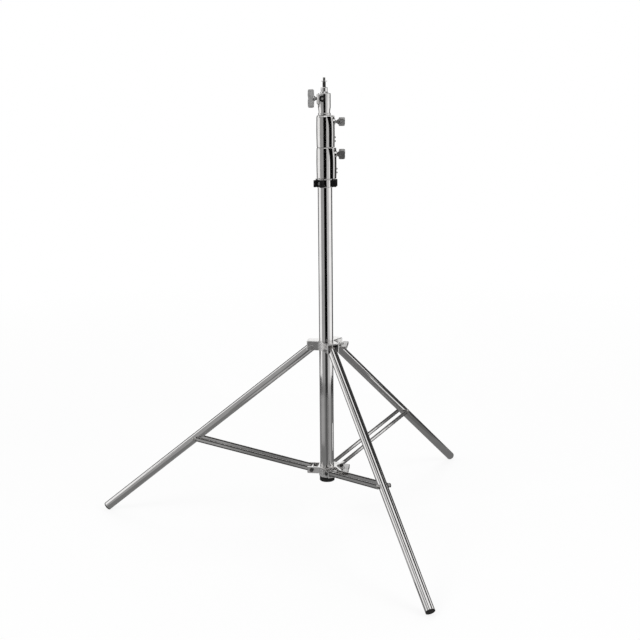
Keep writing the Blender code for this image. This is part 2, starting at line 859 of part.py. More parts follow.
def build_upper_collar(parent, metal):
    """Leg collar: three arms like inverted channels. Its origin is at the height of the leg pivots."""
    low = -upper_cheek_below
    high = upper_cheek_above
    shape = bmesh.new()
    outline = star_outline(upper_arm_length, upper_cheek_half, collar_bore + upper_wrap)
    add_prism(shape, outline, low, high)
    collar = place("upper_collar", finish_mesh("upper_collar", shape), metal, parent)
    turn = collar_knob_boss("upper_collar", collar, low, high)
    for index in range(arm_count):
        channel = bmesh.new()
        add_block(channel, (channel_floor_radius, -leg_channel_half, low - cut_past),
                  (upper_arm_length + cut_past, leg_channel_half, high - sheet), arm_turn(index))
        combine(collar, helper("leg_channel_" + str(index), channel), "DIFFERENCE")
        hole = cylinder_tool("leg_pin_hole_" + str(index), pin_radius + seat_gap, -2 * upper_cheek_half,
                             2 * upper_cheek_half, arm_turn(index) @ across(leg_pivot_radius))
        combine(collar, hole, "DIFFERENCE")
    combine(collar, cylinder_tool("upper_collar_bore", collar_bore, low - cut_past, high + cut_past,
                                  Matrix.Identity(4), round_steps), "DIFFERENCE")
    combine(collar, cylinder_tool("upper_collar_knob_hole", knob_shaft_radius + seat_gap, collar_bore / 2,
                                  2 * collar_boss_reach, turn), "DIFFERENCE")
    bake(collar)


def build_lower_collar(parent, metal):
    """Strut collar: three open channels with a lip along their top edge, on a sleeve round the column."""
    low = -lower_cheek_below
    high = lower_cheek_above
    wrap = collar_bore + lower_wrap
    shape = bmesh.new()
    add_prism(shape, star_outline(lower_arm_length, lower_cheek_half, wrap), low, high - lip_thickness / 2)
    collar = place("lower_collar", finish_mesh("lower_collar", shape), metal, parent)
    lip = bmesh.new()
    outline = star_outline(lower_arm_length - seat_gap, lower_cheek_half + lip_width, wrap + lip_width)
    add_prism(lip, outline, high - lip_thickness, high)
    combine(collar, helper("lower_collar_lip", lip), "UNION")
    sleeve = bmesh.new()
    sleeve_low = low - lower_sleeve_drop
    sleeve_high = low + sheet
    sleeve_radius = collar_bore + lower_sleeve_wall
    add_lathe(sleeve, [(0, sleeve_low), (sleeve_radius, sleeve_low),
                       (sleeve_radius, sleeve_high), (0, sleeve_high)])
    combine(collar, helper("lower_collar_sleeve", sleeve), "UNION")
    turn = collar_knob_boss("lower_collar", collar, low, high)
    for index in range(arm_count):
        channel = bmesh.new()
        add_block(channel, (channel_floor_radius, -bar_channel_half, low + sheet),
                  (lower_arm_length + cut_past, bar_channel_half, high + cut_past), arm_turn(index))
        combine(collar, helper("bar_channel_" + str(index), channel), "DIFFERENCE")
        hole = cylinder_tool("bar_bolt_hole_" + str(index), bolt_radius + seat_gap, -2 * lower_cheek_half,
                             2 * lower_cheek_half, arm_turn(index) @ across(strut_pivot_radius))
        combine(collar, hole, "DIFFERENCE")
    combine(collar, cylinder_tool("lower_collar_bore", collar_bore, sleeve_low - cut_past, high + cut_past,
                                  Matrix.Identity(4), round_steps), "DIFFERENCE")
    combine(collar, cylinder_tool("lower_collar_knob_hole", knob_shaft_radius + seat_gap, collar_bore / 2,
                                  2 * collar_boss_reach, turn), "DIFFERENCE")
    bake(collar)


def build_leg_pins(parent, metal):
    """One riveted pin for each arm, through the cheeks of the leg collar."""
    reach = leg_channel_half + sheet + seat_gap
    end = reach + pin_head_height
    crown = pin_head_radius - pin_head_height
    profile = [
        (0, -end), (crown, -end), (pin_head_radius, -reach), (pin_radius, -reach),
        (pin_radius, reach), (pin_head_radius, reach), (crown, end), (0, end),
    ]
    for index, arm in enumerate(arm_names):
        name = "leg_pin_" + arm
        place(name, lathe_mesh(name, profile, small_steps, across(leg_pivot_radius)), metal, parent,
              (0, 0, 0), (0, 0, arm_azimuth(index)))


def hexagon_rings(low, high, steps):
    """Two rings of a hexagon prism, with points at equal angles so that they meet a round shank."""
    rings = []
    for height in (low, high):
        ring = []
        for step in range(steps):
            angle = 2 * pi * step / steps
            reach = nut_radius * cos(pi / 6) / cos(angle % (pi / 3) - pi / 6)
            ring.append((reach * cos(angle), reach * sin(angle), height))
        rings.append(ring)
    return rings


def button_rings(low, high, steps):
    """Rings of a low round bolt head whose flat face is the higher one."""
    return [round_ring(bolt_radius, low, steps),
            round_ring(bolt_head_radius - bolt_head_crown, (low + high) / 2, steps),
            round_ring(bolt_head_radius, high, steps)]


def build_strut_pivots(parent, metal, plain):
    """One bolt with its nut for each arm of the lower collar, and the spacer tube between the bars."""
    cheek = lower_cheek_half + seat_gap
    steps = small_steps
    rings = button_rings(-cheek - bolt_head_height, -cheek, steps)
    rings += [round_ring(bolt_radius, -cheek, steps), round_ring(bolt_radius, cheek, steps)]
    rings += hexagon_rings(cheek, cheek + nut_height, steps)
    rings += [round_ring(bolt_radius, cheek + nut_height, steps),
              round_ring(bolt_radius, cheek + nut_height + bolt_stub, steps)]
    half = bar_inner - seat_gap
    spacer_radius = bar_half_height - seat_gap
    spacer = [(bolt_radius + seat_gap, -half), (spacer_radius, -half),
              (spacer_radius, half), (bolt_radius + seat_gap, half)]
    for index, arm in enumerate(arm_names):
        turn = across(strut_pivot_radius)
        shape = bmesh.new()
        add_rings(shape, rings, turn)
        turned = (0, 0, arm_azimuth(index))
        place("strut_pivot_bolt_" + arm, finish_mesh("strut_pivot_bolt_" + arm, shape), metal, parent,
              (0, 0, 0), turned)
        name = "strut_spacer_" + arm
        place(name, lathe_mesh(name, spacer, small_steps, turn), plain, parent, (0, 0, 0), turned)


# Legs


def build_leg(arm, pivot, chrome, metal, rubber, nylon):
    """Leg tube along the pivot's -Z, cross-drilled twice, with its two bushes and its foot plug."""
    bottom = -leg_length + foot_flange + seat_gap
    inner = leg_radius - leg_wall
    shape = bmesh.new()
    add_lathe(shape, tube_profile(inner, leg_radius, bottom, leg_overhang), leg_steps)
    leg = place("leg_" + arm, finish_mesh("leg_" + arm, shape), chrome, pivot)
    bush_inner = pin_radius + seat_gap
    bush_outer = bush_inner + pivot_bush_wall
    bush_rim = bush_outer + pivot_bush_rim
    combine(leg, cylinder_tool("pin_hole_" + arm, bush_outer + seat_gap, -2 * leg_radius, 2 * leg_radius,
                               across()), "DIFFERENCE")
    bush_turn = Matrix.Translation((0, 0, -leg_to_strut)) @ across()
    combine(leg, cylinder_tool("bush_hole_" + arm, strut_bush_radius + seat_gap, -2 * leg_radius,
                               2 * leg_radius, bush_turn), "DIFFERENCE")
    bake(leg)
    flange_in = leg_radius + seat_gap
    flange_out = leg_channel_half - seat_gap
    place("pivot_bush_" + arm, lathe_mesh("pivot_bush_" + arm, [
        (bush_inner, -flange_out), (bush_rim, -flange_out), (bush_rim, -flange_in),
        (bush_outer, -flange_in), (bush_outer, flange_in), (bush_rim, flange_in),
        (bush_rim, flange_out), (bush_inner, flange_out),
    ], small_steps, across()), nylon, pivot)
    half = bar_inner - seat_gap
    place("leg_bush_" + arm,
          lathe_mesh("leg_bush_" + arm, [(0, -half), (strut_bush_radius, -half), (strut_bush_radius, half),
                                         (0, half)], small_steps, bush_turn), metal, pivot)
    insert = inner - seat_gap
    end = -leg_length
    profile = [
        (0, end),
        (foot_radius - foot_chamfer, end),
        (foot_radius, end + foot_chamfer),
        (foot_radius, end + foot_flange),
        (insert, end + foot_flange),
        (insert, end + foot_flange + foot_insert),
        (0, end + foot_flange + foot_insert),
    ]
    place("foot_plug_" + arm, lathe_mesh("foot_plug_" + arm, profile, leg_steps), rubber, pivot)


# Struts


def bar_mesh(name, low, high):
    """Flat bar along +X with round ends and a bolt hole at each end, between two faces across Y."""
    outline = []
    steps = 6
    for centre, start in ((0.0, pi / 2), (strut_length, -pi / 2)):
        for step in range(steps + 1):
            angle = start + pi * step / steps
            outline.append((centre + bar_half_height * cos(angle), bar_half_height * sin(angle)))
    shape = bmesh.new()
    add_prism(shape, outline, -high, -low, Matrix.Rotation(pi / 2, 4, "X"))
    bar = place(name, finish_mesh(name, shape), None)
    for index, centre in enumerate((0.0, strut_length)):
        combine(bar, cylinder_tool(name + "_hole_" + str(index), bolt_radius + seat_gap, -2 * bar_outer,
                                   2 * bar_outer, across(centre)), "DIFFERENCE")
    bake(bar)
    return bar


def build_strut(arm, pivot, chrome, dark):
    """Two bars on either side of the leg, and the bolt head and nut at the leg."""
    for side, low, high in (("right", -bar_outer, -bar_inner), ("left", bar_inner, bar_outer)):
        bar = bar_mesh("strut_" + arm + "_" + side, low, high)
        bar.data.materials.clear()
        bar.data.materials.append(chrome)
        bar.parent = pivot
    turn = across(strut_length)
    flip = turn @ Matrix.Rotation(pi, 4, "X")
    stub = bar_inner + seat_gap
    face = bar_outer + seat_gap
    steps = small_steps
    shank = [round_ring(bolt_radius, -face, steps), round_ring(bolt_radius, -stub, steps)]
    head = button_rings(-face - bolt_head_height, -face, steps) + shank
    nut = hexagon_rings(-face - nut_height, -face, steps) + shank
    head_turn, nut_turn = (flip, turn) if arm in flipped_bolts else (turn, flip)
    for piece, rings, frame, material in (("strut_bolt_head_", head, head_turn, chrome),
                                          ("strut_bolt_nut_", nut, nut_turn, dark)):
        shape = bmesh.new()
        add_rings(shape, rings, frame)
        place(piece + arm, finish_mesh(piece + arm, shape), material, pivot)


def build_lower_clamp(root, metal, nylon, brass, satin):
    """Clamp on the column tube's top end that grips the middle tube."""
    bore = column_radius + slide_gap
    face = build_sleeve("lower_sleeve", lower_sleeve_bottom, lower_sleeve_length, lower_sleeve_shell,
                        lower_boss_rise, lower_boss_inset, lower_strip_rise, column_radius, lower_knob_height,
                        lower_rivet_heights, root, metal)
    build_liner("lower_liner", column_top + seat_gap, lower_sleeve_top - seat_gap,
                middle_radius + slide_gap, bore - seat_gap, lower_knob_height, nylon, root)
    build_shoe("lower_brake_shoe", middle_radius, lower_knob_height, brass, root)
    tip = middle_radius + slide_gap + shoe_thickness + seat_gap
    place_knob("lower_sleeve_knob", face + lower_sleeve_standoff, tip, lower_knob_height, 0.0,
               lower_sleeve_knob_turn, satin, root)


def build_middle_section(middle, chrome, metal, nylon, brass, satin):
    """Middle tube with its guide plug and the clamp that grips the top tube."""
    bore = middle_radius - middle_wall
    profile = tube_profile(bore, middle_radius, middle_bottom, middle_top)
    place("middle_tube", lathe_mesh("middle_tube", profile), chrome, middle)
    build_guide("middle_guide", middle_bottom, bore, column_radius - column_wall, nylon, middle)
    face = build_sleeve("upper_sleeve", upper_sleeve_bottom, upper_sleeve_length, upper_sleeve_shell,
                        upper_boss_rise, upper_boss_inset, upper_strip_rise, middle_radius, upper_knob_height,
                        upper_rivet_heights, middle, metal)
    build_liner("upper_liner", middle_top + seat_gap, upper_sleeve_top - seat_gap,
                top_radius + slide_gap, middle_radius + slide_gap - seat_gap, upper_knob_height,
                nylon, middle)
    build_shoe("upper_brake_shoe", top_radius, upper_knob_height, brass, middle)
    tip = top_radius + slide_gap + shoe_thickness + seat_gap
    place_knob("upper_sleeve_knob", face + upper_sleeve_standoff, tip, upper_knob_height, 0.0,
               upper_sleeve_knob_turn, satin, middle)


def build_top_section(top, chrome, metal, nylon, satin):
    """Top tube with its guide plug, the head and the spigot."""
    bore = top_radius - top_wall
    profile = tube_profile(bore, top_radius, top_bottom, top_tube_top)
    place("top_tube", lathe_mesh("top_tube", profile), chrome, top)
    build_guide("top_guide", top_bottom, bore, middle_radius - middle_wall, nylon, top)
    build_head(top, metal)
    place_knob("head_knob", head_boss_reach + head_standoff, spigot_radius + slide_gap, head_knob_height,
               pi, head_knob_turn, satin, top)
    build_spigot(top, chrome)


def main():
    clear_scene()
    chrome = make_material("polished_steel", (0.74, 0.73, 0.72), 0.10, 1.0)
    pressed = make_material("pressed_steel", (0.66, 0.65, 0.64), 0.22, 1.0)
    satin = make_material("satin_metal", (0.52, 0.53, 0.52), 0.38, 1.0)
    dark = make_material("dark_steel", (0.10, 0.10, 0.10), 0.40, 1.0)
    brass = make_material("brass", (0.62, 0.47, 0.22), 0.35, 1.0)
    rubber = make_material("black_rubber", (0.018, 0.018, 0.018), 0.65, 0.0)
    plastic = make_material("black_plastic", (0.015, 0.015, 0.016), 0.38, 0.0)
    nylon = make_material("grey_nylon", (0.22, 0.22, 0.22), 0.55, 0.0)

    root = empty("stand")
    middle = empty("middle_section", root)
    top = empty("top_section", middle)
    build_column(root, chrome, rubber)
    build_lower_clamp(root, pressed, nylon, brass, satin)
    build_clips(root, pressed, plastic)
    build_middle_section(middle, chrome, pressed, nylon, brass, satin)
    build_top_section(top, chrome, pressed, nylon, satin)

    collar = empty("leg_collar", root, (0, 0, leg_pivot_height))
    build_upper_collar(collar, pressed)
    build_leg_pins(collar, pressed)
    place_knob("upper_collar_knob", collar_boss_reach + upper_collar_standoff, column_radius + seat_gap,
               boss_height(-upper_cheek_below, upper_cheek_above), knob_azimuth, upper_collar_knob_turn,
               satin, collar)

    foot = empty("strut_collar", root, (0, 0, strut_pivot_height))
    build_lower_collar(foot, pressed)
    build_strut_pivots(foot, dark, pressed)
    place_knob("lower_collar_knob", collar_boss_reach + lower_collar_standoff, column_radius + seat_gap,
               boss_height(-lower_cheek_below, lower_cheek_above), knob_azimuth, lower_collar_knob_turn,
               satin, foot)

    for index, arm in enumerate(arm_names):
        azimuth = arm_azimuth(index)
        upper_arm = empty("upper_arm_" + arm, collar, (0, 0, 0), (0, 0, azimuth))
        leg_pivot = empty("leg_pivot_" + arm, upper_arm, (leg_pivot_radius, 0, 0), (0, -leg_tilt, 0))
        build_leg(arm, leg_pivot, chrome, pressed, rubber, nylon)
        lower_arm = empty("lower_arm_" + arm, foot, (0, 0, 0), (0, 0, azimuth))
        strut_pivot = empty("strut_pivot_" + arm, lower_arm, (strut_pivot_radius, 0, 0),
                            (0, strut_tilt - pi / 2, 0))
        build_strut(arm, strut_pivot, chrome, dark)

    print("leg tilt", round(degrees(leg_tilt), 3), "strut tilt", round(degrees(strut_tilt), 3),
          "collar travel", round(collar_travel, 5))


main()
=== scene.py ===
from math import acos, asin, atan2, cos, hypot, pi, radians, sin, tan
import json

import bmesh
import bpy
from mathutils import Matrix, Vector


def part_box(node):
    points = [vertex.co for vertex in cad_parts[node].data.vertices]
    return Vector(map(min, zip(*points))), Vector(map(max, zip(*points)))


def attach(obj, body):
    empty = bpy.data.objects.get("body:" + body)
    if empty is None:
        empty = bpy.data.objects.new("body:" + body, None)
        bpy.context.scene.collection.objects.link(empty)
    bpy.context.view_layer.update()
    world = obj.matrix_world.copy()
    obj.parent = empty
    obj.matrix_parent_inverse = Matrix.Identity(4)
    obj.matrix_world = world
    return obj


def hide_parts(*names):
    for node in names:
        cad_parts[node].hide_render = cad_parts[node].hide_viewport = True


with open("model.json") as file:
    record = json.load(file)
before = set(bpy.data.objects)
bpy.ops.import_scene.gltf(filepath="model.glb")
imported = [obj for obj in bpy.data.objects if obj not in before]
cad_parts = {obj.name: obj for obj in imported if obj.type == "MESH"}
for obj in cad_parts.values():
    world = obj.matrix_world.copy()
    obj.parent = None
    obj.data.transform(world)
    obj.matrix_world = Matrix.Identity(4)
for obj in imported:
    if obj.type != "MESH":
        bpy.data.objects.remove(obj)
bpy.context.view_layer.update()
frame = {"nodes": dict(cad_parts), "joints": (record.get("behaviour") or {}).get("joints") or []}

print("frame loaded:", len(frame["nodes"]), "nodes")

still = Matrix.Identity(4)
weld = 0.000001  # points nearer than this become one
past = 0.01  # how far a cutter goes past what it cuts
through = 0.03  # half of a cutter that goes through a whole limb


def pick(s, names):
    return [s[name] for name in names.split()]


def heights(node):
    low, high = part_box(node)
    return low.z, high.z


def move(x=0.0, y=0.0, z=0.0):
    return Matrix.Translation((x, y, z))


def turnOn(axis, angle):
    return Matrix.Rotation(angle, 4, axis)


def across(distance=0.0):
    return move(distance) @ turnOn("X", -pi / 2)


def sideways(z=0.0):
    return move(z=z) @ turnOn("Y", pi / 2)


def newObject(name, data):
    item = bpy.data.objects.new(name, data)
    bpy.context.scene.collection.objects.link(item)
    return item


# camera, from the straight-on view of the photograph
cameraSet = {
    "place": (0.0, -2.9447, 1.1999), "heading": 0.336, "tilt": 77.07, "roll": -0.527,  # degrees
    "lens": 69.01, "sensor": 36.0, "shift": (0.0016, -0.0003),
}


def makeCamera(s):
    data = bpy.data.cameras.new("camera")
    data.lens, data.sensor_width = s["lens"], s["sensor"]
    data.shift_x, data.shift_y = s["shift"]
    cam = newObject("camera", data)
    heading, tilt, roll = (radians(angle) for angle in pick(s, "heading tilt roll"))
    cam.matrix_world = move(*s["place"]) @ turnOn("Z", heading) @ turnOn("X", tilt) @ turnOn("Z", roll)
    bpy.context.scene.camera = cam


makeCamera(cameraSet)

# the joints say where the folding gear turns
joints = {j["name"]: j for j in frame["joints"]}
gear = {"arms": ["front", "back", "left"], "frontAzimuth": radians(-68.1), "legToStrut": 0.393, "strutLength": 0.310}
legPivot, strutPivot = (Vector(joints[limb + "_fold_front"]["pos_m"]) for limb in ("leg", "strut"))
legOut, strutOut = legPivot.xy.length, strutPivot.xy.length


def foldAngles(s):
    # tilt of the leg from straight down and of the strut from straight up
    step, spacing = legOut - strutOut, legPivot.z - strutPivot.z
    reach, lean = hypot(spacing, step), atan2(step, spacing)
    a, b = s["legToStrut"], s["strutLength"]
    return (acos((a * a + reach * reach - b * b) / (2 * a * reach)) - lean,
            acos((b * b + reach * reach - a * a) / (2 * b * reach)) + lean)


legTilt, strutTilt = foldAngles(gear)


def armAzimuth(arm):
    return gear["frontAzimuth"] + 2 * pi * gear["arms"].index(arm) / 3


def armPlace(arm, out=0.0, z=0.0):
    return turnOn("Z", armAzimuth(arm)) @ move(out, 0, z)


def legPlace(arm):
    return armPlace(arm, legOut, legPivot.z) @ turnOn("Y", -legTilt)


def strutPlace(arm):
    return armPlace(arm, strutOut, strutPivot.z) @ turnOn("Y", strutTilt - pi / 2)


# node helpers


def link(source, target):
    source.id_data.links.new(source, target)


def addNode(tree, kind, inputs={}, **settings):
    # inputs are plain values or the sockets that feed them
    node = tree.nodes.new(kind if "Node" in kind else tree.bl_idname.replace("Tree", kind))
    for name, value in settings.items():
        setattr(node, name, value)
    for name, value in inputs.items():
        if isinstance(value, bpy.types.NodeSocket):
            link(value, node.inputs[name])
        else:
            node.inputs[name].default_value = value
    return node


def nodeOut(tree, kind, inputs={}, **settings):
    return addNode(tree, kind, inputs, **settings).outputs[0]


def mathNode(operation, a, b, clamp=False):
    tree = (a if isinstance(a, bpy.types.NodeSocket) else b).id_data
    return nodeOut(tree, "ShaderNodeMath", {0: a, 1: b}, operation=operation, use_clamp=clamp)


def plus(a, b, clamp=False):
    return mathNode("ADD", a, b, clamp)


def minus(a, b, clamp=False):
    return mathNode("SUBTRACT", a, b, clamp)


def times(a, b, clamp=False):
    return mathNode("MULTIPLY", a, b, clamp)


def noiseNode(vector, scale, detail, rough):
    return nodeOut(vector.id_data, "TexNoise", {
        "Vector": vector, "Scale": scale, "Detail": detail, "Roughness": rough})


def stretchNode(vector, scale):
    return nodeOut(vector.id_data, "Mapping", {"Vector": vector, "Scale": scale})


def rampNode(value, stops):
    node = addNode(value.id_data, "ValToRGB", {0: value})
    elements = node.color_ramp.elements
    while len(elements) < len(stops):
        elements.new(0.5)
    for element, (place, grey) in zip(elements, stops):
        element.position = place
        element.color = (grey, grey, grey, 1)
    return node.outputs[0]


def blendColour(factor, low, high):
    low, high = ((*c, 1) if isinstance(c, tuple) else c for c in (low, high))
    return addNode(factor.id_data, "Mix", {0: factor, 6: low, 7: high}, data_type="RGBA").outputs[2]


def newGroup(name, kind, inputs, outputs):
    # each input has its first value; Geometry and Material have none
    group = bpy.data.node_groups.new(name, kind)
    kinds = {tuple: "Vector", float: "Float", int: "Int"}
    for label, value in inputs.items():
        socket = group.interface.new_socket(
            label, in_out="INPUT", socket_type="NodeSocket" + kinds.get(type(value), label))
        if value is not None:
            socket.default_value = value
    for label in outputs:
        socketKind = "NodeSocketGeometry" if label == "Geometry" else "NodeSocketFloat"
        group.interface.new_socket(label, in_out="OUTPUT", socket_type=socketKind)
    return group, addNode(group, "NodeGroupInput").outputs, addNode(group, "NodeGroupOutput").inputs


# shader groups


def makeDrawnMarks():
    # fine lines along the piece, cloudy polishing haze and a few long hair scratches
    group, come, go = newGroup("drawnMarks", "ShaderNodeTree", {
        "Vector": (0, 0, 0), "Smooth": 0.08, "Hazy": 0.16, "Haze Size": 22.0},
        ["Roughness", "Height", "Tint"])
    vector, smooth = come["Vector"], come["Smooth"]
    lines = noiseNode(stretchNode(vector, (900, 900, 9)), 1.0, 4.0, 0.6)
    haze = noiseNode(vector, come["Haze Size"], 4.0, 0.6)
    hair = noiseNode(stretchNode(vector, (260, 340, 3)), 1.0, 1.0, 0.4)
    hair = rampNode(hair, [(0.0, 0), (0.655, 0), (0.675, 1), (0.695, 0), (1.0, 0)])
    cloud = rampNode(haze, [(0.38, 0), (0.68, 1)])
    mixed = plus(times(cloud, 0.7), times(lines, 0.3))
    rough = plus(smooth, times(mixed, minus(come["Hazy"], smooth)))
    link(plus(rough, times(hair, 0.07)), go["Roughness"])
    link(plus(times(lines, 0.6), times(hair, -0.4)), go["Height"])
    link(cloud, go["Tint"])
    return group


def makeCastGrain():
    # even pebble of a tumbled casting or moulded skin, with wide soft unevenness
    group, come, go = newGroup("castGrain", "ShaderNodeTree", {
        "Vector": (0, 0, 0), "Grain": 1400.0, "Wave": 90.0}, ["Height", "Spots", "Cloud"])
    vector = come["Vector"]
    fine = noiseNode(vector, come["Grain"], 3.0, 0.6)
    wide = noiseNode(vector, come["Wave"], 3.0, 0.5)
    pits = noiseNode(vector, 420.0, 2.0, 0.5)
    link(plus(times(fine, 0.35), times(wide, 0.65)), go["Height"])
    link(rampNode(pits, [(0.28, 1), (0.34, 0)]), go["Spots"])
    link(rampNode(wide, [(0.35, 0), (0.7, 1)]), go["Cloud"])
    return group


def makeDustLow():
    # dust and floor scuffs, thickest near the ground
    group, come, go = newGroup("dustLow", "ShaderNodeTree", {
        "Vector": (0, 0, 0), "Reach": 0.03, "Amount": 0.6}, ["Mask"])
    height = addNode(group, "SeparateXYZ", {0: come["Vector"]}).outputs[2]
    near = minus(1.0, mathNode("DIVIDE", height, come["Reach"]), True)
    speck = rampNode(noiseNode(come["Vector"], 160.0, 5.0, 0.7), [(0.42, 0), (0.62, 1)])
    link(times(times(near, speck), come["Amount"], True), go["Mask"])
    return group


drawnMarks = makeDrawnMarks()
castGrain = makeCastGrain()
dustLow = makeDustLow()

# materials


def startMaterial(name, s):
    material = bpy.data.materials.new(name)
    material.use_nodes = True
    tree = material.node_tree
    shader = tree.nodes["Principled BSDF"]
    shader.inputs["Metallic"].default_value = s.get("metal", 1.0)
    shader.inputs["Roughness"].default_value = s["smooth"]
    if "shine" in s:
        shader.inputs["Specular IOR Level"].default_value = s["shine"]
    material.diffuse_color = (*s["colour"], 1)
    if s.get("own", True):
        vector = addNode(tree, "Attribute", attribute_name="ownPlace").outputs["Vector"]
    else:
        vector = addNode(tree, "TexCoord").outputs["Object"]
    return material, tree, shader, vector


def endMaterial(tree, shader, colour, rough, height, s):
    bump = nodeOut(tree, "Bump", {"Strength": s["bump"], "Distance": s.get("bumpDepth", 0.0002), "Height": height})
    for name, source in (("Base Color", colour), ("Roughness", rough), ("Normal", bump)):
        link(source, shader.inputs[name])


def makeMetal(name, s):
    material, tree, shader, vector = startMaterial(name, s)
    marks = addNode(tree, "Group", {
        "Vector": vector, "Smooth": s["smooth"], "Hazy": s["hazy"], "Haze Size": s["hazeSize"]},
        node_tree=drawnMarks).outputs
    colour = blendColour(marks["Tint"], s["colour"], s["cloudy"])
    endMaterial(tree, shader, colour, marks["Roughness"], marks["Height"], s)
    return material


def makeCast(name, s):
    material, tree, shader, vector = startMaterial(name, s)
    grain = addNode(tree, "Group", {"Vector": vector, "Grain": s["grain"], "Wave": s["wave"]},
                    node_tree=castGrain).outputs
    cloud = grain["Cloud"]
    colour = blendColour(cloud, s["colour"], s["cloudy"])
    colour = blendColour(times(grain["Spots"], s["pits"]), colour, s["pitColour"])
    rough = plus(s["smooth"], times(cloud, s["hazy"] - s["smooth"]))
    # edges turn lighter and glossier: real wear on the metal and rubber pieces, a painted sheen on the black clips
    if "edgeWearAndSheen" in s:
        edge = addNode(tree, "Attribute", attribute_name="edgeShare").outputs["Fac"]
        rubAndSheen = times(edge, plus(times(cloud, 0.6), 0.4))
        rubAndSheen = times(rubAndSheen, s["edgeWearAndSheen"], True)
        colour = blendColour(rubAndSheen, colour, s["wornAndSheenColour"])
        rough = minus(rough, times(rubAndSheen, s["wornAndSheenGloss"]))
    if "dust" in s:
        world = addNode(tree, "TexCoord").outputs["Object"]
        dust = nodeOut(tree, "Group", {"Vector": world, "Reach": s["dustReach"], "Amount": s["dust"]},
                       node_tree=dustLow)
        colour = blendColour(dust, colour, s["dustColour"])
        rough = plus(rough, times(dust, 0.3))
    endMaterial(tree, shader, colour, rough, grain["Height"], s)
    return material


sheetSet = {"hazeSize": 60.0, "bump": 0.03}
castSet = {"smooth": 0.34, "hazy": 0.55, "grain": 1500.0, "wave": 140.0, "pits": 0.35,
           "pitColour": (0.20, 0.20, 0.20), "edgeWearAndSheen": 0.9, "wornAndSheenColour": (0.78, 0.77, 0.76), "wornAndSheenGloss": 0.2,
           "bump": 0.15, "bumpDepth": 0.0004}
turnedSet = {"colour": (0.66, 0.65, 0.63), "cloudy": (0.55, 0.54, 0.52), "pits": 0.2,
             "pitColour": (0.3, 0.28, 0.26), "bump": 0.1}

chrome = makeMetal("mirrorChrome", {
    "colour": (0.83, 0.82, 0.81), "cloudy": (0.77, 0.76, 0.755), "smooth": 0.045, "hazy": 0.12,
    "hazeSize": 26.0, "bump": 0.02})
pressedChrome = makeMetal("pressedChrome", {
    **sheetSet, "colour": (0.82, 0.81, 0.80), "cloudy": (0.74, 0.73, 0.72), "smooth": 0.08, "hazy": 0.17})
collarSteel = makeMetal("collarSteel", {
    **sheetSet, "colour": (0.86, 0.85, 0.84), "cloudy": (0.80, 0.79, 0.78), "smooth": 0.22, "hazy": 0.34})
ringSteel = makeMetal("ringSteel", {
    **sheetSet, "colour": (0.93, 0.92, 0.91), "cloudy": (0.88, 0.87, 0.86), "smooth": 0.46, "hazy": 0.58})
barSteel = makeMetal("barSteel", {
    "colour": (0.80, 0.79, 0.78), "cloudy": (0.72, 0.71, 0.70), "smooth": 0.09, "hazy": 0.22,
    "hazeSize": 40.0, "bump": 0.05})
satinCast = makeCast("satinCast", {**castSet, "colour": (0.52, 0.52, 0.515), "cloudy": (0.44, 0.44, 0.435)})
greyCast = makeCast("greyCast", {**castSet, "colour": (0.26, 0.26, 0.255), "cloudy": (0.19, 0.19, 0.185)})
# dark steel of the nuts, bolts and rivets; it is also laid on the head's recess and the strut bars' rims as painted
# shade and painted dark reflection
darkSteelAndShade = makeCast("darkSteelAndShade", {
    "colour": (0.060, 0.058, 0.056), "cloudy": (0.040, 0.040, 0.040), "smooth": 0.26, "hazy": 0.42,
    "grain": 1700.0, "wave": 260.0, "pits": 0.3, "pitColour": (0.06, 0.05, 0.045), "edgeWearAndSheen": 0.8,
    "wornAndSheenColour": (0.42, 0.41, 0.40), "wornAndSheenGloss": 0.1, "bump": 0.18, "bumpDepth": 0.0003})
screwSteel = makeCast("screwSteel", {
    **turnedSet, "smooth": 0.16, "hazy": 0.3, "grain": 1800.0, "wave": 300.0, "edgeWearAndSheen": 0.4,
    "wornAndSheenColour": (0.78, 0.77, 0.76), "wornAndSheenGloss": 0.05})
bushSteel = makeCast("bushSteel", {
    **turnedSet, "own": False, "smooth": 0.2, "hazy": 0.34, "grain": 1700.0, "wave": 260.0})
brass = makeCast("brassShoe", {
    "own": False, "colour": (0.72, 0.52, 0.26), "cloudy": (0.55, 0.38, 0.18), "smooth": 0.24,
    "hazy": 0.40, "grain": 1300.0, "wave": 160.0, "pits": 0.3, "pitColour": (0.25, 0.16, 0.07), "bump": 0.15})
rubber = makeCast("blackRubber", {
    "metal": 0.0, "shine": 0.12, "colour": (0.007, 0.007, 0.0075), "cloudy": (0.014, 0.0135, 0.013),
    "smooth": 0.52, "hazy": 0.72, "grain": 1100.0, "wave": 120.0, "pits": 0.25,
    "pitColour": (0.008, 0.008, 0.008), "edgeWearAndSheen": 0.5, "wornAndSheenColour": (0.075, 0.072, 0.068), "wornAndSheenGloss": 0.0,
    "dust": 0.35, "dustReach": 0.016, "dustColour": (0.20, 0.18, 0.155), "bump": 0.35, "bumpDepth": 0.0004})
# the clips' lighter edges are a painted sheen
clipPlastic = makeCast("clipPlastic", {
    "metal": 0.0, "shine": 0.06, "colour": (0.003, 0.003, 0.0035), "cloudy": (0.006, 0.006, 0.006),
    "smooth": 0.36, "hazy": 0.5, "grain": 1500.0, "wave": 180.0, "pits": 0.2,
    "pitColour": (0.006, 0.006, 0.006), "edgeWearAndSheen": 0.4, "wornAndSheenColour": (0.03, 0.03, 0.03), "wornAndSheenGloss": 0.08,
    "bump": 0.3, "bumpDepth": 0.0003})
nylon = makeCast("guideNylon", {
    "metal": 0.0, "own": False, "colour": (0.20, 0.20, 0.205), "cloudy": (0.14, 0.14, 0.145), "smooth": 0.42,
    "hazy": 0.6, "grain": 1200.0, "wave": 150.0, "pits": 0.2, "pitColour": (0.07, 0.07, 0.07), "bump": 0.25,
    "bumpDepth": 0.0003})
print("materials made")

# mesh helpers


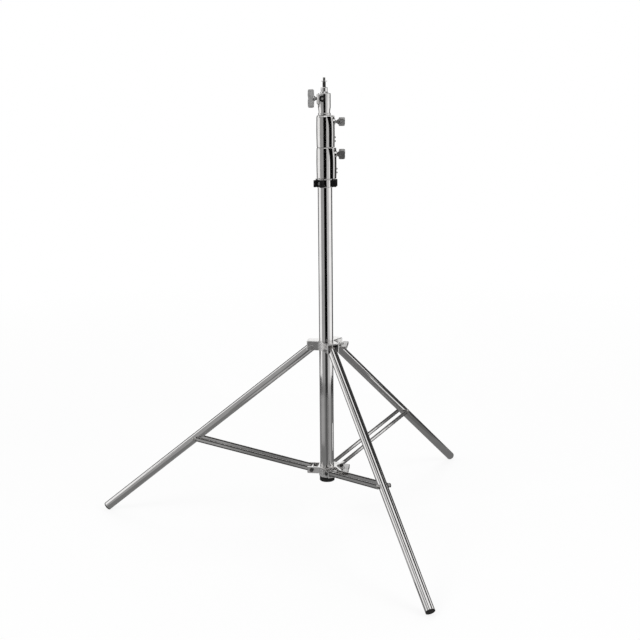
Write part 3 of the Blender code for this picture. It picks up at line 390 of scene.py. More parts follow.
def toMesh(bm, sharp=38):
    bmesh.ops.recalc_face_normals(bm, faces=bm.faces[:])
    for face in bm.faces:
        face.smooth = True
    mesh = bpy.data.meshes.new("draft")
    bm.to_mesh(mesh)
    bm.free()
    mesh.set_sharp_from_angle(angle=radians(sharp))
    return mesh


def ringMesh(rings, turn=still, sharp=38, closed=False):
    # a skin over rings of points, with a flat end at each side unless it closes on itself
    bm = bmesh.new()
    rows = [[bm.verts.new(turn @ Vector(point)) for point in ring] for ring in rings]
    if closed:
        rows.append(rows[0])
    else:
        bm.faces.new(rows[0])
        bm.faces.new(rows[-1])
    for row, nextRow in zip(rows, rows[1:]):
        for i in range(len(row)):
            j = (i + 1) % len(row)
            bm.faces.new((row[i], row[j], nextRow[j], nextRow[i]))
    return toMesh(bm, sharp)


def ringAt(radius, z, steps):
    return [(radius * cos(2 * pi * i / steps), radius * sin(2 * pi * i / steps), z) for i in range(steps)]


def roundLine(points, steps=3, closed=False):
    # points are (x, y, radius); each corner turns into an arc
    out = []
    count = len(points)
    for i, (x, y, radius) in enumerate(points):
        here = Vector((x, y))
        back = Vector(points[i - 1][:2]) - here
        ahead = Vector(points[(i + 1) % count][:2]) - here
        if not radius or (not closed and i in (0, count - 1)) or back.angle(ahead) > pi - 0.02:
            out.append(here)
            continue
        half = back.angle(ahead) / 2
        run = min(radius / tan(half), back.length * 0.49, ahead.length * 0.49)
        radius = run * tan(half)
        start = here + back.normalized() * run
        centre = here + (back.normalized() + ahead.normalized()).normalized() * (radius / sin(half))
        first = start - centre
        sweep = first.angle_signed(here + ahead.normalized() * run - centre)
        out += [centre + Matrix.Rotation(-sweep * k / steps, 2) @ first for k in range(steps + 1)]
    return out


def lathe(profile, steps=48, corners=3, turn=still, sharp=38, closed=False):
    # profile points are (radius, z, corner radius); an open one has flat ends
    if closed:
        line = roundLine(profile, corners, True)
    else:
        line = roundLine([(0, profile[0][1], 0), *profile, (0, profile[-1][1], 0)], corners)[1:-1]
    return ringMesh([ringAt(r, z, steps) for r, z in line], turn, sharp, closed)


def quarter(steps):
    return [pi / 2 * k / steps for k in range(steps + 1)]


def rolled(edge, steps):
    # inset and rise of each line of a rolled edge, from the face to the side
    return [(edge * (1 - sin(a)), edge * (1 - cos(a))) for a in quarter(steps)]


def pillow(outlineAt, low, high, edge, top, steps, turn=still, sharp=38):
    # a prism with rolled edges: outlineAt(inset) gives the outline pulled in
    levels = [(inset, low + rise) for inset, rise in rolled(edge, steps)]
    levels += [(inset, high - rise) for inset, rise in reversed(rolled(top, steps))]
    return ringMesh([[(p[0], p[1], z) for p in outlineAt(inset)] for inset, z in levels], turn, sharp)


def cylinderTool(radius, low, high, turn=still, steps=32):
    return lathe([(radius, low, 0), (radius, high, 0)], steps, 1, turn)


def blockTool(low, high, turn=still):
    corners = [(low[0], low[1]), (high[0], low[1]), (high[0], high[1]), (low[0], high[1])]
    return ringMesh([[(x, y, z) for x, y in corners] for z in (low[2], high[2])], turn)


def evaluated(item):
    bpy.context.view_layer.update()
    return bpy.data.meshes.new_from_object(item.evaluated_get(bpy.context.evaluated_depsgraph_get()))


def welded(mesh, distance, turn=still):
    bm = bmesh.new()
    bm.from_mesh(mesh)
    bmesh.ops.remove_doubles(bm, verts=bm.verts[:], dist=distance)
    bmesh.ops.transform(bm, matrix=turn, verts=bm.verts[:])
    return toMesh(bm)


def carve(mesh, added, cut):
    item = newObject("draft", mesh)
    helpers = []
    for operation, tools in (("UNION", added), ("DIFFERENCE", cut)):
        for tool in tools:
            helper = newObject("tool", tool)
            step = item.modifiers.new("cut", "BOOLEAN")
            step.object, step.operation, step.solver = helper, operation, "EXACT"
            helpers.append(helper)
    result = evaluated(item)
    for old in helpers + [item]:
        bpy.data.objects.remove(old)
    return welded(result, weld)


def keepPlaces(bm):
    # each point keeps its place in the piece's own axes, and how sharp an edge it is on
    own = bm.verts.layers.float_vector.new("ownPlace")
    share = bm.verts.layers.float.new("edgeShare")
    for vert in bm.verts:
        vert[own] = vert.co
        turns = [e.calc_face_angle_signed(0) for e in vert.link_edges if len(e.link_faces) == 2]
        vert[share] = max(0.0, min(1.0, max(turns, default=0) / radians(40)))


def finishPiece(name, node, body, parts, place=still):
    # parts are (mesh, material, ...), one for each face index; they become one mesh where the frame has it
    bm = bmesh.new()
    materials = []
    for mesh, *own in parts:
        materials += [m for m in own if m not in materials]
        start = len(bm.faces)
        bm.from_mesh(mesh)
        bm.faces.ensure_lookup_table()
        for face in bm.faces[start:]:
            face.material_index = materials.index(own[min(face.material_index, len(own) - 1)])
            face.smooth = True
    keepPlaces(bm)
    mesh = bpy.data.meshes.new(name)
    bm.to_mesh(mesh)
    bm.free()
    mesh.transform(place)
    for material in materials:
        mesh.materials.append(material)
    item = newObject(name, mesh)
    even = item.modifiers.new("even", "WEIGHTED_NORMAL")
    even.keep_sharp = True
    item.data = evaluated(item)
    item.modifiers.clear()
    item.data.name = name
    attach(item, body)
    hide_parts(node)


# geometry trees for what follows a rule


def newTree(name, inputs):
    return newGroup(name, "GeometryNodeTree", {"Geometry": None, **inputs, "Material": None}, ["Geometry"])


def endTree(tree, come, go, geometry):
    real = nodeOut(tree, "RealizeInstances", {0: geometry})
    link(nodeOut(tree, "SetMaterial", {"Geometry": real, "Material": come["Material"]}), go[0])
    return tree


def makeTubeTree():
    # a tube: its wall's rounded section carried round a circle
    tree, come, go = newTree("roundTube", {
        "Radius": 0.01, "Wall": 0.001, "Length": 0.1, "Edge": 0.0003, "Sides": 72})
    circle = nodeOut(tree, "CurvePrimitiveCircle", {
        "Resolution": come["Sides"], "Radius": minus(come["Radius"], times(come["Wall"], 0.5))})
    upright = nodeOut(tree, "SetCurveNormal", {"Curve": circle}, mode="Z_UP")
    wall = nodeOut(tree, "CurvePrimitiveQuadrilateral", {"Width": come["Wall"], "Height": come["Length"]})
    rolled = nodeOut(tree, "FilletCurve", {"Curve": wall, "Count": 2, "Radius": come["Edge"]}, mode="POLY")
    sweep = nodeOut(tree, "CurveToMesh", {"Curve": upright, "Profile Curve": rolled})
    return endTree(tree, come, go, sweep)


def makeThreadTree():
    # a helical ridge for threads
    tree, come, go = newTree("threadRidge", {"Radius": 0.003, "Pitch": 0.001, "Turns": 5.0, "Depth": 0.0005})
    spiral = nodeOut(tree, "CurveSpiral", {
        "Resolution": 20, "Rotations": come["Turns"], "Start Radius": come["Radius"], "End Radius": come["Radius"],
        "Height": times(come["Pitch"], come["Turns"])})
    ridge = nodeOut(tree, "CurvePrimitiveCircle", {"Resolution": 4, "Radius": come["Depth"]})
    sweep = nodeOut(tree, "CurveToMesh", {"Curve": spiral, "Profile Curve": ridge, "Fill Caps": True})
    return endTree(tree, come, go, sweep)


def makeRivetTree():
    # a row of domed heads, each a flattened ball half sunk in the strip
    tree, come, go = newTree("rivetRow", {
        "Start": (0, 0, 0), "Step": (0, 0, 0.01), "Count": 2, "Head": 0.002, "Rise": (1, 1, 1)})
    row = nodeOut(tree, "MeshLine", {
        "Count": come["Count"], "Start Location": come["Start"], "Offset": come["Step"]}, mode="OFFSET")
    ball = nodeOut(tree, "MeshUVSphere", {"Segments": 24, "Rings": 12, "Radius": come["Head"]})
    put = nodeOut(tree, "InstanceOnPoints", {"Points": row, "Instance": ball, "Scale": come["Rise"]})
    return endTree(tree, come, go, put)


def grow(tree, values, turn=still):
    item = newObject("draft", bpy.data.meshes.new("draft"))
    step = item.modifiers.new("grow", "NODES")
    step.node_group = tree
    for socket in tree.interface.items_tree:
        if socket.in_out == "INPUT" and socket.name in values:
            step[socket.identifier] = values[socket.name]
    mesh = evaluated(item)
    bpy.data.objects.remove(item)
    return welded(mesh, weld / 2, turn)


tubeTree = makeTubeTree()
threadTree = makeThreadTree()
rivetTree = makeRivetTree()


def tubeMesh(radius, wall, low, high, edge, sides):
    return grow(tubeTree, {"Radius": radius, "Wall": wall, "Length": high - low, "Edge": edge,
                           "Sides": sides, "Material": chrome}, move(z=(low + high) / 2))


def threadMesh(radius, pitch, length, depth, material, turn):
    return grow(threadTree, {"Radius": radius, "Pitch": pitch, "Turns": length / pitch, "Depth": depth,
                             "Material": material}, turn)


def soleRings(z, starts, slope, width, corner):
    # a flat sole from the axis out, with shallow grip rings in it
    line = []
    for at in starts:
        line += [(at, z, 0), (at + slope, z + 0.0004, corner), (at + width - slope, z + 0.0004, corner),
                 (at + width, z, 0)]
    return line


print("trees made")

# mast tubes

tubeSet = {"column": 0.0175, "middle": 0.0150, "top": 0.0125, "wall": 0.0012, "edge": 0.00035, "sides": 72}


def buildMastTubes(s):
    for key, body in (("column", "column"), ("middle", "middle_section"), ("top", "top_section")):
        tube = tubeMesh(s[key], s["wall"], *heights(key + "_tube"), s["edge"], s["sides"])
        finishPiece(key + "Tube", key + "_tube", body, [(tube, chrome)])


baseCapSet = {"radius": 0.0188, "wall": 0.0010, "floor": 0.0045, "edge": 0.0016, "rings": (0.25, 0.45, 0.65),
              "groove": 0.00025, "grooveRows": (0.0022, 0.0020, 0.0014, 0.0012)}


def buildBaseCap(s):
    z, top = heights("base_cap")
    r, inner, floor, groove = s["radius"], s["radius"] - s["wall"], z + s["floor"], s["radius"] - s["groove"]
    line = soleRings(z, [r * share for share in s["rings"]], 0.0004, 0.0018, 0.0002)
    line += [(r, z, s["edge"])]
    line += [(reach, top - drop, 0.0002) for reach, drop in zip((r, groove, groove, r), s["grooveRows"])]
    line += [(r, top, 0.0004), (inner, top, 0.0003), (inner, floor, 0)]
    finishPiece("baseCap", "base_cap", "column", [(lathe(line, 64), rubber)])


buildMastTubes(tubeSet)
buildBaseCap(baseCapSet)
print("mast tubes made")

# clamp sleeves

sleeveSet = {
    "lower": {"body": "column", "bore": 0.0178, "radius": 0.0197, "boss": 0.0231, "bossHalf": 0.01525,
              "strip": 0.0281, "knobDrop": 0.0161},
    "upper": {"body": "middle_section", "bore": 0.0153, "radius": 0.0192, "boss": 0.0203, "bossHalf": 0.0160,
              "strip": 0.0243, "knobDrop": 0.0154},
    "stripHalf": 0.0052, "bossCorner": 0.0042, "edge": 0.0012, "foot": 0.0040, "swell": 0.0004,
    "flare": 0.0024, "flareHeight": 0.0350, "shoulder": 0.0075, "shoulderPull": 0.6, "ear": 0.0080,
    "earRise": 0.0012, "earRim": 0.0024, "slot": 0.0012, "slotSide": 0.0075, "slotHeight": 0.0225,
    "rivets": (0.0145, 0.0235), "rivet": 0.0024, "rivetRise": 0.0026, "rivetSink": 0.0002, "shaft": 0.0043,
    "earInside": 0.013, "shaftInside": 0.010, "slotInside": 0.0024, "steps": 60,
}


def sleeveOutline(s, c, inset, flare):
    radius, boss, reach, half = c["radius"] - inset, c["boss"] - inset, c["strip"] - inset, s["stripHalf"] - inset
    bossHalf, corner = c["bossHalf"] + flare - inset, s["bossCorner"] + flare
    opening = asin(bossHalf / radius)
    points = [(reach, -half, 0.0012), (reach, half, 0.0012), (boss, half, 0.0008), (boss, bossHalf, corner)]
    for k in range(s["steps"] + 1):
        a = opening + 2 * (pi - opening) * k / s["steps"]
        points.append((radius * cos(a), radius * sin(a), 0))
    return roundLine(points + [(boss, -bossHalf, corner), (boss, -half, 0.0008)], 5, True)


def sleeveLevels(s, c, low, high):
    # height, inset and flare: a rolled foot, a slight belly, a flared top and a round shoulder
    foot, shoulder = low + s["foot"], high - s["shoulder"]
    pull = s["shoulderPull"] * (c["radius"] - c["bore"])
    levels = [(low + s["foot"] * (1 - cos(a)), s["edge"] * (1 - sin(a))) for a in quarter(5)[:-1]]
    levels += [(foot + (shoulder - foot) * k / 14, -s["swell"] * sin(pi * k / 14)) for k in range(15)]
    levels += [(shoulder + s["shoulder"] * sin(a), pull * (1 - cos(a))) for a in quarter(8)[1:]]
    return [(z, inset, s["flare"] * max(0.0, 1 - (high - z) / s["flareHeight"]) ** 2) for z, inset in levels]


def buildSleeve(key, s):
    c = s[key]
    node = key + "_sleeve"
    bore, strip = c["bore"], c["strip"]
    low, high = heights(node)
    atKnob = sideways(high - c["knobDrop"])
    body = ringMesh([[(x, y, z) for x, y in sleeveOutline(s, c, inset, flare)]
                     for z, inset, flare in sleeveLevels(s, c, low, high)], sharp=50)
    r, rise, side = s["ear"], s["earRise"], s["slotSide"]
    rim, face = r - s["earRim"], strip + rise
    ear = lathe([(r, s["earInside"], 0), (r, face, rise), (rim, face, 0.0003),
                 (rim - 0.0003, face - 0.0003, 0.0002)], 40, 3, atKnob)
    body = carve(body, [ear], [
        cylinderTool(bore, low - past, high + past, steps=64),
        cylinderTool(s["shaft"], s["shaftInside"], face + past, atKnob),
        blockTool((bore - s["slotInside"], side, low - past),
                  (face + past, side + s["slot"], low + s["slotHeight"]))])
    first, last = s["rivets"]
    rivets = grow(rivetTree, {
        "Start": (strip - s["rivetSink"], 0, low + first), "Step": (0, 0, last - first), "Count": 2,
        "Head": s["rivet"], "Rise": (s["rivetRise"] / s["rivet"] + 0.09, 1, 1), "Material": darkSteelAndShade})
    finishPiece(key + "Sleeve", node, c["body"], [(body, pressedChrome), (rivets, darkSteelAndShade)])


buildSleeve("lower", sleeveSet)
buildSleeve("upper", sleeveSet)
print("sleeves made")

# T-knobs

knobSet = {
    "shaft": 0.0040, "neck": 0.0048, "hub": 0.0066, "hubLength": 0.0035, "cap": 0.0045,
    "wingDepth": 0.0155, "halfSpan": 0.0218, "halfThick": 0.0034, "corner": 0.0036, "edge": 0.0014,
    "waist": 0.0009, "draft": 0.0006, "bulge": 0.35, "heel": 0.3, "pitch": 0.00125, "threadDepth": 0.00045,
    "pin": 0.0013, "pinPlace": 0.4,
    "knobs": [  # piece, node, hub from axis, shaft tip, turn of the wing in degrees, finish
        ("lowerSleeveKnob", "lower_sleeve_knob", 0.0298, 0.0174, 58, greyCast),
        ("upperSleeveKnob", "upper_sleeve_knob", 0.0298, 0.0149, 66, greyCast),
        ("headKnob", "head_knob", 0.0203, 0.0083, 14, satinCast),
        ("upperCollarKnob", "upper_collar_knob", 0.0350, 0.0178, 95, satinCast),
        ("lowerCollarKnob", "lower_collar_knob", 0.0370, 0.0178, 100, satinCast),
    ],
}


def wingOutline(s, inset):
    inner, outer = s["hubLength"] + inset, s["hubLength"] + s["wingDepth"] - inset
    span, draft, corner = s["halfSpan"] - inset, s["draft"], s["corner"] - inset
    bulge, heel = span * s["bulge"], span * s["heel"]
    points = [(inner + draft, -span, corner), (outer - draft, -span, corner), (outer, -bulge, 0.004),
              (outer - s["waist"], 0, 0.006), (outer, bulge, 0.004), (outer - draft, span, corner),
              (inner + draft, span, corner), (inner, heel, 0.003), (inner, -heel, 0.003)]
    return roundLine(points, 4, True)


def buildKnob(piece, node, hubAt, tipAt, twist, finish, s):
    joint = joints[node + "_turn"]
    axis = Vector(joint["axis"])
    shaft, neck, hub, hubEnd, half, depth, pinHalf = pick(s, "shaft neck hub hubLength halfThick threadDepth pin")
    length, core, top, reach = hubAt - tipAt, shaft - depth, hubEnd + s["cap"], half + 0.0001
    stem = lathe([(core, -length, 0.0004), (core, -0.0004, 0), (shaft, -0.0003, 0.0002),
                  (shaft, 0.0, 0.0001), (neck, 0.0006, 0.0003), (hub, hubEnd, 0.0008), (hub, top - 0.001, 0.001),
                  (neck, top, 0.001)], 32, 3, sideways())
    wing = pillow(lambda inset: wingOutline(s, inset), -half, half, s["edge"], s["edge"], 3, turnOn("X", pi / 2))
    ridge = threadMesh(core, s["pitch"], length - 0.0012, depth, screwSteel, sideways() @ move(z=-length + 0.0006))
    # roll pin that ties the hub to its screw
    pin = lathe([(pinHalf, -reach, 0.0002), (pinHalf, reach, 0.0002)],
                16, 2, move(hubEnd + s["wingDepth"] * s["pinPlace"]) @ across())
    place = (move(z=joint["pos_m"][2]) @ turnOn("Z", atan2(axis.y, axis.x)) @ move(hubAt)
             @ turnOn("X", radians(twist)))
    finishPiece(piece, node, node,
                [(carve(stem, [wing], []), finish), (ridge, screwSteel), (pin, screwSteel)], place)


for entry in knobSet["knobs"]:
    buildKnob(*entry, knobSet)
print("knobs made")

# head and spigot

headSet = {
    "radius": 0.0152, "neck": 0.0138, "ringHeight": 0.0048, "taperTop": 0.0180, "tubeBore": 0.0128,
    "tubeDepth": 0.0260, "socketBore": 0.0083, "socketDepth": 0.0205, "edge": 0.0014, "bossReach": 0.0180,
    "bossHalf": 0.0120, "bossFlat": 0.0035, "bossAbove": 0.0105, "bossBelow": 0.0160, "bossFoot": 0.0050,
    "bossEdge": 0.0012, "knobDrop": 0.0125, "shaft": 0.0043, "shaftReach": (-0.036, -0.004),
    "recessAzimuth": radians(-108),
    "recess": 0.0078, "recessDepth": 0.0042, "screw": 0.0041, "screwHeight": 0.0030,
    "screwSocket": 0.0008, "screwSocketDepth": 0.0013, "screwBright": 0.0024,
}


def headBoss(s, knobHeight):
    # the knob's boss: its foot grows out of the round body and its crest is rolled
    foot, crest, edge = knobHeight - s["bossBelow"], knobHeight + s["bossAbove"], s["bossEdge"]
    rise = s["bossReach"] - s["radius"] + 0.0003
    levels = [(foot + s["bossFoot"] * k / 6, rise * (1 - k / 6) ** 2 * (1 + k / 3)) for k in range(7)]
    levels += [(crest - edge + edge * sin(pi * k / 8), edge * (1 - cos(pi * k / 8))) for k in range(5)]
    rings = []
    for z, inset in levels:
        reach, side = s["bossReach"] - inset, s["bossHalf"] - inset
        corner = side - s["bossFlat"]
        line = roundLine([(-reach, -side, corner), (0, -side, 0), (0, side, 0), (-reach, side, corner)], 8, True)
        rings.append([(x, y, z) for x, y in line])
    return ringMesh(rings, sharp=50)


def buildHead(s):
    low, high = heights("head_casting")
    knobHeight = high - s["knobDrop"]
    r, neck, edge, deep, bright, socket = pick(s, "radius neck edge recessDepth screwBright screwSocket")
    ringTop = low + s["ringHeight"]
    body = lathe([(r, low, edge), (r, ringTop, edge * 0.8), (neck, ringTop, 0.0006),
                  (neck, ringTop + s["ringHeight"], 0.008), (r, low + s["taperTop"], 0.008), (r, high, edge)],
                 64, 4, sharp=50)
    recessTurn = turnOn("Z", s["recessAzimuth"]) @ sideways(knobHeight)
    body = carve(body, [headBoss(s, knobHeight)], [
        cylinderTool(s["tubeBore"], low - past, low + s["tubeDepth"], steps=64),
        cylinderTool(s["socketBore"], high - s["socketDepth"], high + past, steps=48),
        cylinderTool(s["shaft"], *s["shaftReach"], sideways(knobHeight)),
        cylinderTool(s["recess"], r - deep, through, recessTurn, 40)])
    inRecess = turnOn("Z", -s["recessAzimuth"])
    for face in body.polygons:  # the recess floor and wall get the dark steel: painted shade in the recess
        at, out = inRecess @ face.center, (inRecess @ face.normal).x
        away = s["recess"] - hypot(at.y, at.z - knobHeight)
        floor = away > 0 and out > 0.99 and at.x < r - deep + 0.0001
        face.material_index = int(at.x > 0 and (floor or (abs(out) < 0.1 and abs(away) < 0.0002)))
    finishPiece("headCasting", "head_casting", "top_section", [(body, pressedChrome, darkSteelAndShade)])
    face = r - deep + 0.0003
    top = face + s["screwHeight"]
    sink = top - s["screwSocketDepth"]
    screw = lathe([(s["screw"], face, 0.0002), (s["screw"], top - 0.0006, 0.0002),
                   (bright, top, 0.0003), (socket, top, 0.0001), (socket, sink, 0.0001)],
                  36, 3, recessTurn)
    for face in screw.polygons:  # bright round the socket, dark at the rim
        at = inRecess @ face.center
        face.material_index = int(hypot(at.y, at.z - knobHeight) > bright)
    finishPiece("headScrew", "head_screw", "top_section", [(screw, screwSteel, darkSteelAndShade)])


spigotSet = {
    "radius": 0.0080, "flange": 0.0098, "coneHeight": 0.0032, "pinHeight": 0.0265, "bevel": 0.0010,
    "neck": 0.0038, "neckHeight": 0.0130, "shoulder": 0.0070, "shoulderHeight": 0.0020, "stud": 0.0031,
    "studHeight": 0.0076, "socketDepth": 0.0205, "gap": 0.0003, "pitch": 0.00127, "threadDepth": 0.00042,
}


def buildSpigot(s):
    r, b, flange, neck, shoulder, gap = pick(s, "radius bevel flange neck shoulder gap")
    headTop = heights("head_casting")[1]
    floor, cone, core = headTop - s["socketDepth"] + gap, headTop + gap, s["stud"] - s["threadDepth"]
    pinTop = cone + s["pinHeight"]
    neckLow, shoulderTop = pinTop - s["neckHeight"], pinTop + s["shoulderHeight"]
    studTop = shoulderTop + s["studHeight"]
    pin = lathe([(r, floor, b), (r, cone, 0), (flange, cone, 0.0002), (flange, cone + 0.0008, 0.0005),
                 (r, cone + s["coneHeight"], 0.0008), (r, neckLow - b, 0.0004), (r - b, neckLow, 0.0003),
                 (neck, neckLow, 0.0010), (neck, pinTop, 0.0006), (shoulder, pinTop, 0.0003),
                 (shoulder, shoulderTop, 0.0004), (core, shoulderTop, 0.0003), (core, studTop, 0.0005)], 56)
    ridge = threadMesh(core, s["pitch"], s["studHeight"] - 0.0016, s["threadDepth"], chrome,
                       move(z=shoulderTop + 0.0008))
    for face in pin.polygons:  # the neck and the stud's root get the dark steel
        at = face.center
        face.material_index = int(at.z > neckLow - 0.0001 and hypot(at.x, at.y) < neck + 0.0004)
    finishPiece("spigotPin", "spigot", "spigot", [(pin, chrome, darkSteelAndShade), (ridge, darkSteelAndShade)])


buildHead(headSet)
buildSpigot(spigotSet)
print("head made")

# clip band and clips

clipSet = {
    "bore": 0.0178, "bandWall": 0.0018, "gap": 0.0003, "half": 0.0130, "back": 0.0026, "depth": 0.0091,
    "jaw": 0.0056, "height": 0.0168, "lip": 0.0008, "corner": 0.0012, "edge": 0.0009,
    "screw": 0.0042, "screwRise": 0.0012, "groove": 0.0004, "grooveRows": (0.0016, 0.0020),
}


def clipOutline(s, inset):
    outside = s["bore"] + s["bandWall"] + s["gap"]
    back, floor, reach = outside + inset, outside + s["back"] - inset, outside + s["depth"] - inset
    half, jaw, lip = s["half"] - inset, s["half"] - s["jaw"] + inset, s["lip"]
    spread = asin((s["half"] - s["corner"]) / (back + s["back"]))
    side = [(back * cos(spread) + s["jaw"], half, 0.0016), (reach, half, 0.0018),
            (reach, jaw - lip, 0.0007), (reach - lip - inset, jaw - lip, 0.0007),
            (reach - 2 * lip - inset, jaw, 0.0008), (floor, jaw, 0.0012)]
    curve = [(back * cos(a), back * sin(a), 0) for a in [spread * (2 * k / 10 - 1) for k in range(11)]]
    return roundLine(curve + side + [(x, -y, r) for x, y, r in reversed(side)], 3, True)


def buildClips(s):
    low, high = heights("clip_band")
    bore, screwHalf, height = pick(s, "bore screw height")
    outer = bore + s["bandWall"]
    groove = outer - s["groove"]
    first, second = s["grooveRows"]
    band = lathe([  # rolled band with a shallow groove near each rim
        (bore, low, 0.0003), (outer, low, 0.0006), (outer, low + first, 0.0002), (groove, low + second, 0.0002),
        (groove, high - second, 0.0002), (outer, high - first, 0.0002), (outer, high, 0.0006), (bore, high, 0.0003)],
        64, closed=True)
    finishPiece("clipBand", "clip_band", "column", [(band, pressedChrome)])
    middle = (low + high) / 2
    seat = outer + s["gap"] + s["back"]
    top = seat + s["screwRise"]
    clip = pillow(lambda inset: clipOutline(s, inset), middle - height / 2, middle + height / 2,
                  s["edge"], s["edge"], 3)
    # its screw sits in the mouth and holds the clip on the band
    screw = lathe([(screwHalf, seat - 0.0004, 0), (screwHalf, seat + 0.0004, 0.0003),
                   (screwHalf * 0.6, top, 0.0008)], 32, 3, sideways(middle))
    for k in range(3):
        number = str(k + 1)
        finishPiece("legClip" + number, "clip_" + number, "column",
                    [(clip, clipPlastic), (screw, greyCast)],
                    turnOn("Z", gear["frontAzimuth"] + pi / 3 + 2 * pi * k / 3))


buildClips(clipSet)
print("clips made")

# collars

collarSet = {
    "bore": 0.0178, "sheet": 0.0025, "floor": 0.0216, "nose": 0.0022, "bossInside": 0.0159, "bossReach": 0.0262,
    "boss": 0.0080, "shaft": 0.0043, "shaftReach": (0.009, 0.05), "ringEdge": 0.0016,
    "upper": {"node": "upper_collar", "pivot": legPivot, "arm": 0.0465, "channel": 0.0130, "wrap": 0.0205,
              "hole": 0.0043, "holeReach": 0.03},
    "lower": {"node": "lower_collar", "pivot": strutPivot, "arm": 0.0484, "channel": 0.01455, "wrap": 0.0222,
              "hole": 0.0033, "holeReach": 0.04},
    "floorDrop": 0.0068, "lipWidth": 0.0026, "lipThickness": 0.0024, "sleeveWall": 0.0022,
}


def starOutline(s, arm, half, wrap, inset):
    arm, half, wrap = arm - inset, half - inset, wrap - inset
    middle = pi / 3
    fillet = max(0.001, (wrap - half / sin(middle)) / (1 / sin(middle) - 1))
    points = []
    for name in gear["arms"]:
        turn = Matrix.Rotation(armAzimuth(name), 2)
        for x, y, r in ((arm, -half, s["nose"]), (arm, half, s["nose"]), (half / tan(middle), half, fillet)):
            points.append((*(turn @ Vector((x, y))), r))
    return roundLine(points, 8, True)


def collarStar(s, c, wider, shorter, low, high, edge, top, steps):
    half = c["channel"] + s["sheet"] + wider
    return pillow(lambda inset: starOutline(s, c["arm"] - shorter, half, c["wrap"] + wider, inset),
                  low, high, edge, top, steps, sharp=50)


def finishCollar(s, c, body, star, added, low, high, knobHeight, channelLow, channelHigh):
    # the knob's boss, the channels and pin holes of the arms, the bore; the ring has a duller polish
    pivot, channel, hole, reach = pick(c, "pivot channel hole holeReach")
    turn = turnOn("Z", gear["frontAzimuth"] + pi / 3) @ sideways(knobHeight)
    boss = lathe([(s["boss"], s["bossInside"], 0), (s["boss"], s["bossReach"], 0.0012)], 40, 4, turn, 50)
    cut = []
    for arm in gear["arms"]:
        cut += [blockTool((s["floor"], -channel, channelLow), (c["arm"] + past, channel, channelHigh), armPlace(arm)),
                cylinderTool(hole, -reach, reach, armPlace(arm) @ across(pivot.xy.length))]
    cut += [cylinderTool(s["bore"], low - past, high + past, steps=64),
            cylinderTool(s["shaft"], *s["shaftReach"], turn)]
    mesh = carve(star, added + [boss], cut)
    for face in mesh.polygons:
        face.material_index = int(face.center.xy.length < c["wrap"] + s["ringEdge"] and abs(face.normal.z) < 0.5)
    name = c["node"].replace("_collar", "Collar")
    finishPiece(name, c["node"], body, [(mesh, collarSteel, ringSteel)], move(z=pivot.z))


def buildCollars(s):
    c = s["upper"]
    low, high = (z - legPivot.z for z in heights("upper_collar"))
    star = collarStar(s, c, 0, 0, low, high, 0.0003, 0.0013, 1)
    finishCollar(s, c, "leg_collar", star, [], low, high, (low + high) / 2, low - past, high - s["sheet"])

    c = s["lower"]
    bottom, high = (z - strutPivot.z for z in heights("lower_collar"))
    low = -s["floorDrop"] - s["sheet"]
    r, floor, thick, wide = s["bore"] + s["sleeveWall"], low + s["sheet"], s["lipThickness"], s["lipWidth"]
    star = collarStar(s, c, 0, 0, low, high - thick / 2, 0.0013, 0.0001, 3)
    lip = collarStar(s, c, wide, 0.0003, high - thick, high, 0.0006, 0.0006, 2)
    sleeve = lathe([(r, bottom, 0.0006), (r, floor, 0)], 64)
    finishCollar(s, c, "column", star, [lip, sleeve], bottom, high, (low + high) / 2, floor, high + past)


buildCollars(collarSet)
print("collars made")

# pins, bolts and nuts

fixingSet = {
    "pin": 0.0040, "pinHead": 0.0062, "pinHeadHeight": 0.0012, "pinReach": 0.0158,
    "bolt": 0.0030, "boltHead": 0.0052, "boltHeadHeight": 0.0028, "socket": 0.0017, "socketDepth": 0.0013,
    "nut": 0.0056, "nutHeight": 0.0036, "nutCut": 0.0005, "stub": 0.0012, "pitch": 0.0008, "threadDepth": 0.0003,
    "cheek": 0.01735, "barFace": 0.01455, "shankEnd": 0.01205,
}


def hexRing(radius, cap, z, steps=48):
    ring = []
    for k in range(steps):
        a = 2 * pi * k / steps
        reach = min(radius * cos(pi / 6) / cos(a % (pi / 3) - pi / 6), cap)
        ring.append((reach * cos(a), reach * sin(a), z))
    return ring


def nutMesh(s, low, high, turn):
    # six flats with both faces turned back at the corners
    r, cut, hole = s["nut"], s["nutCut"], s["bolt"] + 0.0002
    face, side = r * cos(pi / 6) * 0.99, r * 0.995
    rings = [ringAt(hole, low, 48), hexRing(r, face, low), hexRing(r, side, low + cut),
             hexRing(r, side, high - cut), hexRing(r, face, high), ringAt(hole, high, 48)]
    return ringMesh(rings, turn, 25)


def boltHeadMesh(s, face, turn):
    # low dome with a round socket, its flat face at the given height
    top, r, socket = face - s["boltHeadHeight"], s["boltHead"], s["socket"]
    sink = top + s["socketDepth"]
    return lathe([(socket, sink, 0.0001), (socket, top, 0.0001), (s["bolt"] + 0.0003, top, 0.0008),
                  (r - 0.0003, (top + face) / 2, 0.0015), (r, face - 0.0001, 0.0001), (r, face, 0)],
                 40, 3, turn, 50)


def shankMesh(radius, low, high, turn):
    return lathe([(radius, low, 0.0003), (radius, high, 0.0003)], 28, 2, turn)


